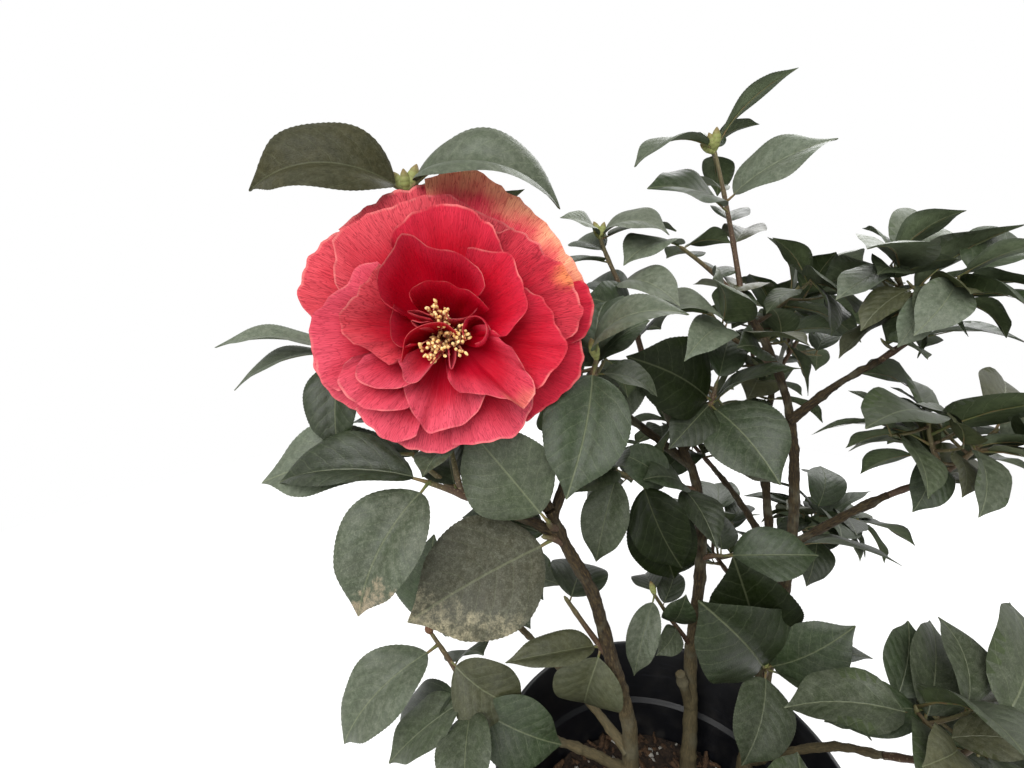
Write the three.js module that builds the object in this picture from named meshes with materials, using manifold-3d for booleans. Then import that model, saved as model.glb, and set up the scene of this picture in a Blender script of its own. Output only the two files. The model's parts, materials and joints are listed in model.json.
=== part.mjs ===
// A camellia shrub in a black nursery pot, with one open bloom: about 0.65 m tall.
// Millimetres, +Z up. The origin is the middle of the pot's flat underside, and the bloom faces -Y.
// Stems and boughs are tapering limbs. Each mass of foliage is twigs and leaves fused into one solid.

import * as THREE from 'three';
import { mergeVertices } from 'three/addons/utils/BufferGeometryUtils.js';
import Module from 'manifold-3d';

const wasm = await Module();
wasm.setup();

// Driving sizes
const POT_HEIGHT = 195;
const RIM_RADIUS = 105;
const FOOT_RADIUS = 78;
const POT_WALL = 2.6;
const RIM_BAND = 27; // height of the wider band under the lip
const LEDGE_DROP = 48; // the step inside the wall, below the lip
const SOIL_TOP = 120;
const DRAIN_HOLES = 8; // round the foot
const DRAIN_HOLE_WIDTH = 16;
const DRAIN_HOLE_HEIGHT = 10;
const ROUND_SEGMENTS = 32; // round the pot
const CLEARANCE = 0.3; // between pieces that touch
const SWELLING = 0.35; // added to a limb's radius, so that its flat sides keep the clearance too
const SMOOTHING = 0.02; // largest move of a surface where needless vertices are dropped
const BLOOM_SMOOTHING = 0.12;
const LEAF_CLEARANCE = 0.5; // least gap between a leaf and the neighbouring pieces
const LEAF_THICKNESS = 0.014; // of the leaf's length
const PETIOLE = 0.11; // share of a leaf's length that is stalk
const SHOWN_LEAF = [0, 0.34, 0.66, 1]; // where a leaf's rings lie along it
const PLAIN_LEAF = [0, 0.48, 1];
const TWIG_TIP_RADIUS = 1.15;
const TWIG_ROOT_RADIUS = 2.0;
const NODE_SPACING = 17; // between leaves along a twig
const LAST_NODE = 0.96; // the place of the endmost leaves, as a share of the twig
const ROOT_SUNK = 0.8; // how far a leaf starts behind the middle of its twig
const LEAF_TURN = 137.5; // degrees round the twig from one leaf to the next
const CROWN_AXIS = new THREE.Vector3(10, 70, 0);
const OPEN_SIDE = new THREE.Vector3(-0.2, -0.93, 0.3).normalize(); // where the show leaves face
const UP = new THREE.Vector3(0, 0, 1);

// Colours
const FOLIAGE = new THREE.MeshStandardMaterial({ color: 0x3f4f3b, roughness: 0.6 });
const BARK = new THREE.MeshStandardMaterial({ color: 0x5b4634, roughness: 0.9 });
const BLACK_PLASTIC = new THREE.MeshStandardMaterial({ color: 0x17181b, roughness: 0.55 });
const POTTING_SOIL = new THREE.MeshStandardMaterial({ color: 0x2c2119, roughness: 1.0 });
const PETAL = new THREE.MeshStandardMaterial({ color: 0xcf2b44, roughness: 0.6 });

const group = new THREE.Group();
const solids = []; // every solid so far, which later twigs and leaves keep clear of

const radians = THREE.MathUtils.degToRad;
const point = (x, y, z) => new THREE.Vector3(x, y, z);

// Even numbers from 0 to 1, the same on every run for one seed
function drawFrom(seed) {
  let state = seed >>> 0;
  return () => {
    state = (Math.imul(state, 1664525) + 1013904223) >>> 0;
    return state / 4294967296;
  };
}

// Solids from three.js geometry and back
function solidOf(geometry) {
  const bare = geometry.clone();
  bare.deleteAttribute('normal');
  bare.deleteAttribute('uv');
  const merged = mergeVertices(bare, 1e-4);
  return new wasm.Manifold(new wasm.Mesh({
    numProp: 3,
    vertProperties: merged.attributes.position.array,
    triVerts: new Uint32Array(merged.index.array),
  }));
}

function geometryOf(solid) {
  const mesh = solid.getMesh();
  const geometry = new THREE.BufferGeometry();
  geometry.setAttribute('position', new THREE.BufferAttribute(mesh.vertProperties, 3));
  geometry.setIndex(new THREE.BufferAttribute(mesh.triVerts, 1));
  return geometry;
}

// One solid from several, without loose scraps or sealed hollows
function fuse(parts) {
  const joined = parts.reduce((whole, part) => whole.add(part));
  return largestOf(joined);
}

function largestOf(solid) {
  const pieces = solid.decompose();
  return pieces.reduce((best, piece) => (piece.volume() > best.volume() ? piece : best));
}

function addMesh(name, solid, material) {
  const mesh = new THREE.Mesh(geometryOf(solid), material);
  mesh.name = name;
  group.add(mesh);
}

function addPiece(name, solid, material) {
  addMesh(name, solid, material);
  solids.push({ name, solid, box: boxOf(solid) });
}

function boxOf(solid) {
  const { min, max } = solid.boundingBox();
  return new THREE.Box3(point(...min), point(...max));
}

// True where a candidate stays clear of every piece made so far, apart from those named
function isClear(candidate, exceptions, gap) {
  const box = boxOf(candidate).expandByScalar(gap);
  return solids.every((other) => exceptions.includes(other.name)
    || !other.box.intersectsBox(box)
    || candidate.minGap(other.solid, gap) >= gap);
}

// Directions and arcs
function directionOf(heading, rise) {
  const h = radians(heading);
  const r = radians(rise);
  return point(Math.cos(r) * Math.cos(h), Math.cos(r) * Math.sin(h), Math.sin(r));
}

function squareTo(direction, hint) {
  return hint.clone().addScaledVector(direction, -hint.dot(direction)).normalize();
}

// A point on an arc of that length, which leaves its chord by half the bend, and its normal there
function onArc(start, direction, normal, length, bend, share) {
  const turn = Math.max(radians(bend), 1e-4);
  const angle = turn * (0.5 - share);
  const along = (Math.sin(turn / 2) - Math.sin(angle)) / turn;
  const off = (Math.cos(angle) - Math.cos(turn / 2)) / turn;
  return {
    place: start.clone().addScaledVector(direction, length * along).addScaledVector(normal, length * off),
    normal: normal.clone().multiplyScalar(Math.cos(angle)).addScaledVector(direction, -Math.sin(angle)),
  };
}

// A round limb that tapers along a curve, with flat ends
function limb(points, rootRadius, tipRadius, { sides = 8, steps = 8, flare = 0 } = {}) {
  const curve = new THREE.CatmullRomCurve3(points, false, 'centripetal');
  const frames = curve.computeFrenetFrames(steps, false);
  const geometry = new THREE.CylinderGeometry(1, 1, 1, sides, steps);
  const vertex = point(0, 0, 0);
  const position = geometry.attributes.position;
  for (let i = 0; i < position.count; i += 1) {
    vertex.fromBufferAttribute(position, i);
    const share = vertex.y + 0.5;
    const step = Math.round(share * steps);
    const radius = rootRadius + (tipRadius - rootRadius) * share + flare * Math.exp(-share * 14);
    const place = curve.getPointAt(share)
      .addScaledVector(frames.binormals[step], vertex.x * radius)
      .addScaledVector(frames.normals[step], vertex.z * radius);
    position.setXYZ(i, place.x, place.y, place.z);
  }
  return solidOf(geometry);
}

// Half the width of a leaf blade, as a share of its widest: round at the base and drawn out at the tip
function leafOutline(share) {
  const along = Math.max(0, (share - PETIOLE) / (1 - PETIOLE));
  return Math.sin(Math.PI * along ** 0.8) ** (0.6 + 0.6 * along);
}

// A leaf: a stalk that widens into a blade with a raised fold each side of the midrib, arched along it
function leafSolid(start, { heading, rise, length, turn, breadth, fold, arch, stations }, light) {
  const direction = directionOf(heading, rise);
  const normal = squareTo(direction, light.clone().lerp(OPEN_SIDE, turn));
  const across = direction.clone().cross(normal);
  const rings = stations.length - 1;
  const geometry = new THREE.SphereGeometry(1, 4, rings);
  const position = geometry.attributes.position;
  const vertex = point(0, 0, 0);
  for (let i = 0; i < position.count; i += 1) {
    vertex.fromBufferAttribute(position, i);
    const ring = rings - Math.round((Math.acos(vertex.y) / Math.PI) * rings);
    const share = stations[ring];
    const pole = ring === 0 || ring === rings;
    const spoke = pole ? point(0, 0, 0) : point(vertex.x, 0, vertex.z).normalize();
    const half = length * breadth * 0.5 * leafOutline(share);
    const spine = onArc(start, direction, normal, length, arch, share);
    const place = spine.place
      .addScaledVector(across, half * spoke.x * Math.cos(radians(fold)))
      .addScaledVector(spine.normal, half * Math.abs(spoke.x) * Math.sin(radians(fold))
        + length * LEAF_THICKNESS * spoke.z);
    position.setXYZ(i, place.x, place.y, place.z);
  }
  return solidOf(geometry);
}

// A pointed bud at a twig's tip
function budSolid(start, direction, length) {
  const geometry = new THREE.SphereGeometry(0.5, 6, 4);
  geometry.scale(length * 0.42, length, length * 0.42);
  geometry.translate(0, length * 0.42, 0);
  geometry.applyQuaternion(new THREE.Quaternion().setFromUnitVectors(point(0, 1, 0), direction));
  geometry.translate(start.x, start.y, start.z);
  return solidOf(geometry);
}

// A leaf on a twig: where along it, which way it points, and its size. Turn is how far it faces the
// open side rather than the sky.
const LEAF_SHAPE = { turn: 0, breadth: 0.56, fold: 16, arch: 50, stations: SHOWN_LEAF };
const leaf = (at, heading, rise, length, shape = {}) => (
  { at, heading, rise, length, ...LEAF_SHAPE, ...shape });
// A side twig, with leaves and buds of its own. Lift is the bend that raises its tip, in degrees.
const twig = (at, heading, rise, length, { leaves = [], buds = [], lift = 20 } = {}) => (
  { at, heading, rise, length, leaves, buds, lift });
// A bud: where along the twig, which way it points, and its length
const bud = (at, heading, rise, length) => ({ at, heading, rise, length });

// A side twig of a grown twig bears leaves alone
const SIDE_RULE = { sideTwigs: 0, bare: 0.45 };

// The growth rule: leaves turn round the twig one after another, with a few side twigs between them,
// and end in a close rosette. It returns the leaves and side twigs of one twig.
function grownOn(length, heading, rise, draw, { sideTwigs, leafLength, bare }) {
  const forward = directionOf(heading, rise);
  const side = squareTo(forward, UP);
  const other = forward.clone().cross(side);
  const leaves = [];
  const twigs = [];
  const nodes = Math.max(3, Math.round((length * (1 - bare)) / NODE_SPACING));
  let round = draw() * 360;
  for (let node = 0; node <= nodes; node += 1) {
    round += LEAF_TURN + (draw() - 0.5) * 30;
    const at = Math.min(1, bare + ((1 - bare) * node) / nodes);
    const out = side.clone().multiplyScalar(Math.cos(radians(round)))
      .addScaledVector(other, Math.sin(radians(round)));
    const bearsTwig = twigs.length < sideTwigs && node % 2 === 1 && node < nodes;
    const lean = bearsTwig ? 0.75 : 0.45;
    const way = out.addScaledVector(forward, lean).addScaledVector(UP, 0.15).normalize();
    const wayHeading = THREE.MathUtils.radToDeg(Math.atan2(way.y, way.x));
    const wayRise = THREE.MathUtils.radToDeg(Math.asin(way.z));
    const size = draw();
    const spread = draw();
    const curl = draw();
    if (bearsTwig) {
      const reach = length * (0.45 + 0.2 * size);
      const grown = grownOn(reach, wayHeading, wayRise, draw, { ...SIDE_RULE, leafLength });
      twigs.push(twig(at, wayHeading, wayRise, reach, { leaves: grown.leaves, lift: 30 }));
    } else {
      leaves.push(leaf(at, wayHeading, wayRise - 14, leafLength * (0.82 + 0.34 * size), {
        breadth: 0.52 + 0.1 * spread,
        arch: 35 + 45 * curl,
        fold: 10 + 16 * spread,
        stations: PLAIN_LEAF,
      }));
    }
  }
  return { leaves, twigs };
}

// The light that a leaf turns to: the sky and the outside of the crown
function lightAt(place) {
  const outward = point(place.x - CROWN_AXIS.x, place.y - CROWN_AXIS.y, 0);
  return UP.clone().addScaledVector(outward.normalize(), 0.5).normalize();
}

// One mass of foliage: a stem along its points, with leaves, side twigs and buds. All the stems are
// set out first, so that no leaf grows through a neighbour's stem.
const masses = [];
function foliage(name, {
  points, seed, leaves = [], twigs = [], buds = [], rule = null, radius = TWIG_ROOT_RADIUS,
}, roots) {
  const curve = new THREE.CatmullRomCurve3(points, false, 'centripetal');
  const stem = cutBack(limb(points, radius, TWIG_TIP_RADIUS, { sides: 3, steps: 4 }), roots);
  const end = points[points.length - 1].clone().sub(points[points.length - 2]);
  const grown = rule ? grownOn(
    curve.getLength(),
    THREE.MathUtils.radToDeg(Math.atan2(end.y, end.x)),
    THREE.MathUtils.radToDeg(Math.atan2(end.z, Math.hypot(end.x, end.y))),
    drawFrom(seed),
    rule,
  ) : { leaves: [], twigs: [] };
  masses.push({
    name,
    roots,
    curve,
    bearer: { leaves: [...leaves, ...grown.leaves], buds },
    twigs: [...twigs, ...grown.twigs],
  });
  solids.push({ name, solid: stem, box: boxOf(stem) });
}

// A mass's leaves, twigs and buds are fused to its stem. What would touch a neighbour is skipped, and
// what reaches into the limbs that the mass grows from is cut away.
function dressed({ name, roots, curve, bearer, twigs }) {
  const own = solids.find((one) => one.name === name);
  const parts = [own.solid];
  const exceptions = [name, ...roots];
  const keep = (solid) => {
    if (isClear(solid, exceptions, LEAF_CLEARANCE)) parts.push(solid);
  };
  const dress = (placeAt, { leaves, buds }) => {
    for (const one of leaves) {
      const start = placeAt(Math.min(one.at, LAST_NODE))
        .addScaledVector(directionOf(one.heading, one.rise), -ROOT_SUNK);
      keep(leafSolid(start, one, lightAt(start)));
    }
    for (const { at, heading, rise, length } of buds) {
      keep(budSolid(placeAt(Math.min(at, LAST_NODE)), directionOf(heading, rise), length));
    }
  };
  dress((at) => curve.getPointAt(at), bearer);
  for (const side of twigs) {
    const start = curve.getPointAt(side.at);
    const direction = directionOf(side.heading, side.rise);
    const below = squareTo(direction, UP).negate();
    const placeAt = (share) => onArc(start, direction, below, side.length, side.lift, share).place;
    const path = [0, 0.35, 0.7, 1].map(placeAt);
    const body = limb(path, TWIG_TIP_RADIUS * 1.35, TWIG_TIP_RADIUS, { sides: 3, steps: 3 });
    if (isClear(body, exceptions, LEAF_CLEARANCE)) {
      parts.push(body);
      dress(placeAt, side);
    }
  }
  own.solid = cutBack(fuse(parts), roots).simplify(SMOOTHING);
  own.box = boxOf(own.solid);
  return own.solid;
}

// A solid without what lies in the limbs that it grows from, or within the clearance of them
function cutBack(solid, roots) {
  const around = solids.filter((other) => roots.includes(other.name));
  return largestOf(around.reduce((left, other) => left.subtract(other.swollen ?? other.solid), solid));
}

// A stem or bough. What grows from it is cut back by its swollen copy.
function growLimb(name, points, rootRadius, tipRadius, {
  roots = [], flare = 0, stubs = [], steps = 8,
} = {}) {
  const sides = flare ? 8 : 6;
  const parts = [limb(points, rootRadius, tipRadius, { sides, flare, steps })];
  for (const { points: path, radius } of stubs) {
    parts.push(limb(path, radius, radius * 0.9, { sides: 6, steps: 2 }));
  }
  addPiece(name, largestOf(cutBack(fuse(parts), roots).subtract(groundBelow())), BARK);
  const before = points[0].clone().sub(points[1]).setLength(CLEARANCE).add(points[0]);
  const last = points[points.length - 1];
  const beyond = last.clone().sub(points[points.length - 2]).setLength(CLEARANCE).add(last);
  const longer = [before, ...points.slice(1, -1), beyond];
  solids[solids.length - 1].swollen = limb(longer, rootRadius + SWELLING, tipRadius + SWELLING, {
    sides, flare, steps,
  });
}

// Everything below the soil's surface, for the flat cut under the stems
function groundBelow() {
  const block = new THREE.BoxGeometry(400, 400, SOIL_TOP);
  block.translate(0, 0, SOIL_TOP / 2 + CLEARANCE);
  return solidOf(block);
}

// The pot's outer radius at a height
const wallAt = (z) => FOOT_RADIUS + ((RIM_RADIUS - 3 - FOOT_RADIUS) * z) / POT_HEIGHT;

// The pot: a tapered wall with a lip, a wider band under it, a ledge inside and holes round the foot
function nurseryPot() {
  const ledge = POT_HEIGHT - LEDGE_DROP;
  const outline = [
    [0, 0],
    [FOOT_RADIUS - 3, 0],
    [FOOT_RADIUS, 3],
    [wallAt(ledge - 2), ledge - 2],
    [wallAt(ledge) + 2, ledge],
    [wallAt(POT_HEIGHT - RIM_BAND) + 1, POT_HEIGHT - RIM_BAND],
    [RIM_RADIUS - 2, POT_HEIGHT - RIM_BAND + 2],
    [RIM_RADIUS - 0.8, POT_HEIGHT - 4],
    [RIM_RADIUS, POT_HEIGHT - 2],
    [RIM_RADIUS - 1, POT_HEIGHT],
    [RIM_RADIUS - 3.5, POT_HEIGHT],
    [RIM_RADIUS - 4, POT_HEIGHT - 2],
    [wallAt(ledge) + 2 - POT_WALL, ledge + 2],
    [wallAt(ledge) - POT_WALL - 0.6, ledge - 1],
    [FOOT_RADIUS - POT_WALL, 4],
    [FOOT_RADIUS - POT_WALL - 3, 3],
    [0, 3],
  ];
  const turned = new THREE.LatheGeometry(outline.map(([r, z]) => new THREE.Vector2(r, z)), ROUND_SEGMENTS);
  turned.rotateX(Math.PI / 2);
  let pot = solidOf(turned);
  for (let i = 0; i < DRAIN_HOLES; i += 1) {
    const hole = new THREE.BoxGeometry(DRAIN_HOLE_WIDTH, DRAIN_HOLE_WIDTH, DRAIN_HOLE_HEIGHT);
    hole.translate(FOOT_RADIUS, 0, 2 + DRAIN_HOLE_HEIGHT / 2);
    hole.rotateZ((i * 2 * Math.PI) / DRAIN_HOLES);
    pot = pot.subtract(solidOf(hole));
  }
  return pot;
}

// The soil fills the pot to its top, clear of the wall by the clearance
function pottingSoil() {
  const insideAt = (z) => wallAt(z) - POT_WALL - 0.9 - CLEARANCE;
  const outline = [
    [0, 3 + CLEARANCE],
    [FOOT_RADIUS - POT_WALL - 3.5, 3 + CLEARANCE],
    [insideAt(8), 8],
    [insideAt(SOIL_TOP - 3), SOIL_TOP - 3],
    [insideAt(SOIL_TOP) - 3, SOIL_TOP],
    [0, SOIL_TOP],
  ];
  const turned = new THREE.LatheGeometry(outline.map(([r, z]) => new THREE.Vector2(r, z)), ROUND_SEGMENTS);
  turned.rotateX(Math.PI / 2);
  return solidOf(turned);
}

addPiece('pot', nurseryPot(), BLACK_PLASTIC);
addPiece('potting_soil', pottingSoil(), POTTING_SOIL);

// Stems, from the soil up
growLimb('main_stem', [
  point(-14, 17, 112), point(-17, 17, 150), point(-22, 15, 210), point(-37, 8, 267),
  point(-52, 2, 319), point(-67, -2, 349), point(-76, -5, 371),
], 6.4, 3.3, { flare: 3.2, steps: 10 });
const PRUNED_STUB = { points: [point(35, 62, 176), point(24, 58, 208)], radius: 3.6 };
growLimb('second_stem', [
  point(34, 50, 112), point(36, 60, 160), point(33, 66, 221), point(36, 72, 282),
  point(29, 76, 345), point(17, 80, 374),
], 6.2, 3.2, { flare: 3, steps: 10, stubs: [PRUNED_STUB] });
growLimb('right_stem', [
  point(56, 20, 112), point(60, 26, 150), point(76, 46, 205), point(98, 75, 310),
  point(95, 95, 390), point(80, 102, 430), point(63, 114, 462),
], 6.4, 2.6, { flare: 3, steps: 11 });
growLimb('back_stem', [
  point(75, 44, 201), point(84, 66, 236), point(98, 100, 280), point(104, 130, 320),
  point(102, 158, 370),
], 4.8, 2.6, { steps: 9, roots: ['right_stem'] });

// The main boughs: each leaves its stem and ends where it enters its foliage
growLimb('bloom_bough', [
  point(-76.4, -5, 371.6), point(-90, 1, 396), point(-107, 7, 424),
], 2.9, 2.1, { steps: 4, roots: ['main_stem'] });
growLimb('left_bough', [
  point(-71, -3, 356), point(-90, -9, 369), point(-112, -16, 382),
], 2.5, 1.9, { steps: 5, roots: ['main_stem'] });
growLimb('lower_left_bough', [
  point(-19, 16, 172), point(-60, 9, 203), point(-105, 6, 221), point(-117, 8, 231),
], 3.2, 2.2, { steps: 6, roots: ['main_stem'] });
growLimb('inner_bough', [
  point(-74, -4, 366), point(-66, 0, 392), point(-58, 5, 430),
], 2.5, 2.0, { steps: 5, roots: ['main_stem', 'bloom_bough'] });
growLimb('upper_left_bough', [
  point(16.6, 80, 374.6), point(4, 83, 400), point(-8, 85, 424),
], 2.9, 2.1, { steps: 4, roots: ['second_stem'] });
growLimb('centre_bough', [
  point(19, 80, 368), point(28, 80, 384), point(34, 81, 397),
], 2.6, 2.1, { steps: 4, roots: ['second_stem', 'upper_left_bough'] });
growLimb('back_left_bough', [
  point(25, 78, 358), point(-18, 98, 388), point(-58, 112, 408),
], 3.0, 2.2, { steps: 6, roots: ['second_stem', 'upper_left_bough', 'centre_bough'] });
growLimb('right_outer_bough', [
  point(95, 72, 300), point(122, 62, 330), point(140, 52, 350),
], 3.0, 2.2, { steps: 5, roots: ['right_stem'] });
growLimb('right_upper_bough', [
  point(95, 93, 385), point(118, 82, 415), point(132, 70, 432),
], 2.8, 2.1, { steps: 5, roots: ['right_stem'] });
growLimb('right_front_bough', [
  point(64, 31, 163), point(96, 0, 212), point(108, -22, 232),
], 3.2, 2.2, { steps: 6, roots: ['right_stem'] });
growLimb('back_upper_bough', [
  point(104, 143, 344), point(120, 170, 370), point(130, 186, 392),
], 2.8, 2.1, { steps: 5, roots: ['back_stem'] });
growLimb('back_middle_bough', [
  point(98, 100, 280), point(90, 140, 300), point(80, 172, 314),
], 3.0, 2.2, { steps: 5, roots: ['back_stem'] });
growLimb('back_outer_bough', [
  point(88, 76, 249), point(118, 104, 256), point(142, 122, 250),
], 3.0, 2.2, { steps: 5, roots: ['back_stem'] });
growLimb('back_low_bough', [
  point(80, 56, 221), point(92, 110, 232), point(90, 140, 230),
], 3.0, 2.2, { steps: 6, roots: ['back_stem', 'right_stem'] });
growLimb('left_back_bough', [
  point(-21, 15, 190), point(-60, 58, 212), point(-92, 92, 222),
], 3.0, 2.2, { steps: 6, roots: ['main_stem', 'lower_left_bough'] });
growLimb('front_bough', [
  point(-15, 15, 141), point(2, -40, 200), point(8, -78, 217),
], 3.0, 2.2, { steps: 7, roots: ['main_stem'] });

// The bloom: petals in rings round a seat, facing out of the crown and a little upwards
const BLOOM_SEAT = point(-124, -9, 461);
const BLOOM_AXIS = directionOf(278, 22);
const BLOOM_UP = squareTo(BLOOM_AXIS, UP);
const BLOOM_RIGHT = BLOOM_UP.clone().cross(BLOOM_AXIS);
const PETAL_ROWS = [0, 0.45, 0.8, 1];
const PETAL_COLUMNS = 3;
const PETAL_THICKNESS = 1.1;
// A petal: degrees clockwise from the top as seen from the front, its length and width, the angles
// from the bloom's axis at which it starts and ends, and how far its sides come forward
const petal = (round, length, width, start, end, cup) => ({ round, length, width, start, end, cup });
const PETALS = [
  petal(25, 70, 80, 66, 100, 0.1), petal(338, 67, 74, 58, 90, 0.12), petal(302, 69, 56, 67, 98, 0.1),
  petal(264, 62, 60, 59, 91, 0.12), petal(226, 58, 58, 67, 96, 0.1), petal(188, 56, 62, 59, 86, 0.12),
  petal(150, 58, 60, 67, 96, 0.1), petal(112, 62, 60, 59, 90, 0.12), petal(72, 68, 62, 63, 92, 0.1),
  petal(4, 58, 60, 45, 74, 0.18), petal(46, 60, 50, 50, 82, 0.14), petal(88, 56, 50, 44, 76, 0.16),
  petal(130, 52, 50, 51, 78, 0.16), petal(176, 46, 46, 43, 72, 0.14), petal(220, 46, 48, 50, 76, 0.16),
  petal(264, 52, 46, 44, 72, 0.16), petal(314, 60, 54, 50, 80, 0.16),
  petal(346, 46, 52, 28, 54, 0.26), petal(48, 42, 42, 34, 60, 0.22), petal(112, 32, 28, 26, 42, 0.26),
  petal(236, 34, 34, 26, 44, 0.26), petal(292, 36, 32, 32, 54, 0.22),
];

// Half the width of a petal, as a share of its widest: a narrow claw and a broad round end
function petalOutline(share) {
  const rising = 0.22 + 0.78 * Math.sin((Math.PI / 2) * Math.min(1, share / 0.68));
  const closing = share < 0.68 ? 1 : Math.sqrt(1 - ((share - 0.68) / 0.37) ** 2);
  return rising * closing;
}

// A petal bends evenly from its starting angle to its ending angle
function petalPoint({ round, length, width, start, end, cup }, share, sideways) {
  const out = BLOOM_UP.clone().multiplyScalar(Math.cos(radians(round)))
    .addScaledVector(BLOOM_RIGHT, Math.sin(radians(round)));
  const across = out.clone().cross(BLOOM_AXIS);
  const first = radians(start);
  const swing = radians(Math.max(end - start, 0.1));
  const reach = length * share * (1 - 0.13 * sideways ** 2);
  const angle = first + (swing * reach) / length;
  const outward = (length / swing) * (Math.cos(first) - Math.cos(angle));
  const forward = (length / swing) * (Math.sin(angle) - Math.sin(first));
  const half = width * 0.5 * petalOutline(share);
  return BLOOM_SEAT.clone()
    .addScaledVector(out, 3 + outward)
    .addScaledVector(BLOOM_AXIS, forward + half * cup * sideways ** 2 * 2)
    .addScaledVector(across, half * sideways);
}

function petalSolid(shape) {
  const rows = PETAL_ROWS.length - 1;
  const geometry = new THREE.BoxGeometry(1, 1, 1, PETAL_COLUMNS, rows, 1);
  const position = geometry.attributes.position;
  const vertex = point(0, 0, 0);
  for (let i = 0; i < position.count; i += 1) {
    vertex.fromBufferAttribute(position, i);
    const share = PETAL_ROWS[Math.round((vertex.y + 0.5) * rows)];
    const place = petalPoint(shape, share, vertex.x * 2);
    place.addScaledVector(BLOOM_AXIS, vertex.z * PETAL_THICKNESS);
    position.setXYZ(i, place.x, place.y, place.z);
  }
  const solid = solidOf(geometry);
  return solid.volume() > 0 ? solid : solidOf(flipped(geometry));
}

function flipped(geometry) {
  const turned = geometry.clone();
  const index = turned.index.array;
  for (let i = 0; i < index.length; i += 3) [index[i + 1], index[i + 2]] = [index[i + 2], index[i + 1]];
  return turned;
}

// The stalk that the bloom sits on, from the shoot behind it
const BLOOM_STALK_END = BLOOM_SEAT.clone().addScaledVector(BLOOM_AXIS, -9);

function bloomSolid() {
  const cup = new THREE.SphereGeometry(9, 10, 6);
  cup.translate(...BLOOM_SEAT.toArray());
  const stamens = new THREE.SphereGeometry(9, 10, 6);
  stamens.translate(...BLOOM_SEAT.clone().addScaledVector(BLOOM_AXIS, 12).toArray());
  const calyx = limb([
    BLOOM_STALK_END.clone(),
    BLOOM_SEAT.clone(),
  ], 5, 8, { steps: 1 });
  return fuse([solidOf(cup), solidOf(stamens), calyx, ...PETALS.map(petalSolid)]);
}

addPiece('bloom', bloomSolid().simplify(BLOOM_SMOOTHING), PETAL);

// Foliage on the bloom's own shoot
foliage('bloom_shoot_foliage', {
  points: [point(-107, 7, 424), point(-124, 12, 455), point(-138, 17, 494), point(-145, 17, 528)],
  leaves: [
    leaf(1.0, 191, -1, 79, { turn: 0.75, arch: 80, breadth: 0.62 }),
    leaf(0.98, 350, -1, 88, { turn: 0.42, arch: 85, breadth: 0.48, fold: 24 }),
    leaf(0.7, 95, 12, 66), leaf(0.45, 40, -10, 62), leaf(0.85, 60, 30, 60),
  ],
  twigs: [
    twig(0.3, 180, -4, 62, {
      leaves: [
        leaf(1, 189, 12, 60, { turn: 0.15 }), leaf(1, 192, -16, 58, { turn: 0.3 }),
        leaf(0.9, 281, -58, 48, { turn: 0.8, breadth: 0.72 }), leaf(0.7, 100, 5, 60),
      ],
    }),
    twig(0.32, 278, 22, 11.8, { lift: 1 }),
  ],
  buds: [bud(1, 170, 55, 13), bud(1, 250, 75, 12), bud(1, 20, 70, 15)],
}, ['bloom_bough']);

foliage('fork_spur', {
  points: [point(-72, -4, 360), point(-76, -14, 367), point(-78, -21, 374)],
  leaves: [leaf(0.9, 174, 44, 59, { turn: 0.9, breadth: 0.74, arch: 20, fold: 8 })],
}, ['main_stem']);

foliage('left_bough_foliage', {
  points: [point(-112, -16, 382), point(-125, -21, 390.5), point(-134, -25, 396)],
  leaves: [
    leaf(0.95, 175, -4, 74, { turn: 0.35, fold: 30, arch: 40, breadth: 0.5 }),
    leaf(1, 222, -53, 66, { turn: 0.9, breadth: 0.76, arch: 40 }),
    leaf(0.4, 100, 0, 56),
  ],
  twigs: [
    twig(0.12, 153, 26, 39, {
      leaves: [leaf(1, 183, 2, 74, { turn: 0.5, breadth: 0.62, arch: 45 }), leaf(0.8, 120, 0, 60)],
    }),
    twig(0.3, 120, 60, 24, { leaves: [leaf(1, 60, 30, 40), leaf(1, 250, 10, 36, { turn: 0.6 })] }),
  ],
}, ['left_bough']);

foliage('main_stem_spur', {
  points: [point(-68, -2.2, 350), point(-74, -7, 352), point(-80, -12, 353)],
  leaves: [
    leaf(0.7, 205, -28, 70, { turn: 0.85, breadth: 0.84, arch: 40 }),
    leaf(0.5, 150, -4, 66), leaf(0.9, 172, 8, 64, { turn: 0.1 }),
  ],
}, ['main_stem']);

foliage('lower_spur', {
  points: [point(-38, 7.6, 268), point(-52, 5.6, 290), point(-66, 4, 313)],
  leaves: [
    leaf(0.2, 196, 20, 58, { turn: 0.2, fold: 30 }),
    leaf(0.24, 258, -36, 66, { turn: 0.85, breadth: 0.66 }),
    leaf(0.9, 70, -2, 44, { turn: 0.8, breadth: 0.8 }),
  ],
}, ['main_stem']);

foliage('lower_left_foliage', {
  points: [point(-117, 8, 231), point(-129, 14, 254), point(-145, 19, 279)],
  leaves: [
    leaf(0.72, 206, -36, 80, { turn: 0.7, breadth: 0.58 }), leaf(0.25, 160, -50, 78),
    leaf(1, 27, 76, 60, { turn: 1, breadth: 0.7, arch: 20 }),
    leaf(0.16, 52, 8, 70, { turn: 0.75, breadth: 0.78, arch: 80 }),
    leaf(0.06, 350, -20, 62, { turn: 0.8, breadth: 0.7 }),
    leaf(0.12, 200, -30, 60), leaf(0.5, 130, -20, 60), leaf(0.05, 270, -12, 60, { turn: 0.5 }),
  ],
  buds: [bud(0.95, 150, 60, 9)],
}, ['lower_left_bough']);

foliage('inner_foliage', {
  points: [point(-58, 5, 430), point(-55, 7, 439), point(-53, 8, 447)],
  leaves: [
    leaf(0.8, 240, -43, 74, { turn: 0.9, breadth: 0.76, arch: 30, fold: 10 }),
    leaf(1, 321, 34, 62, { turn: 0.2, arch: 120, breadth: 0.42 }), leaf(0.9, 75, 25, 60),
  ],
  buds: [bud(1, 200, 70, 12)],
}, ['inner_bough']);

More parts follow.
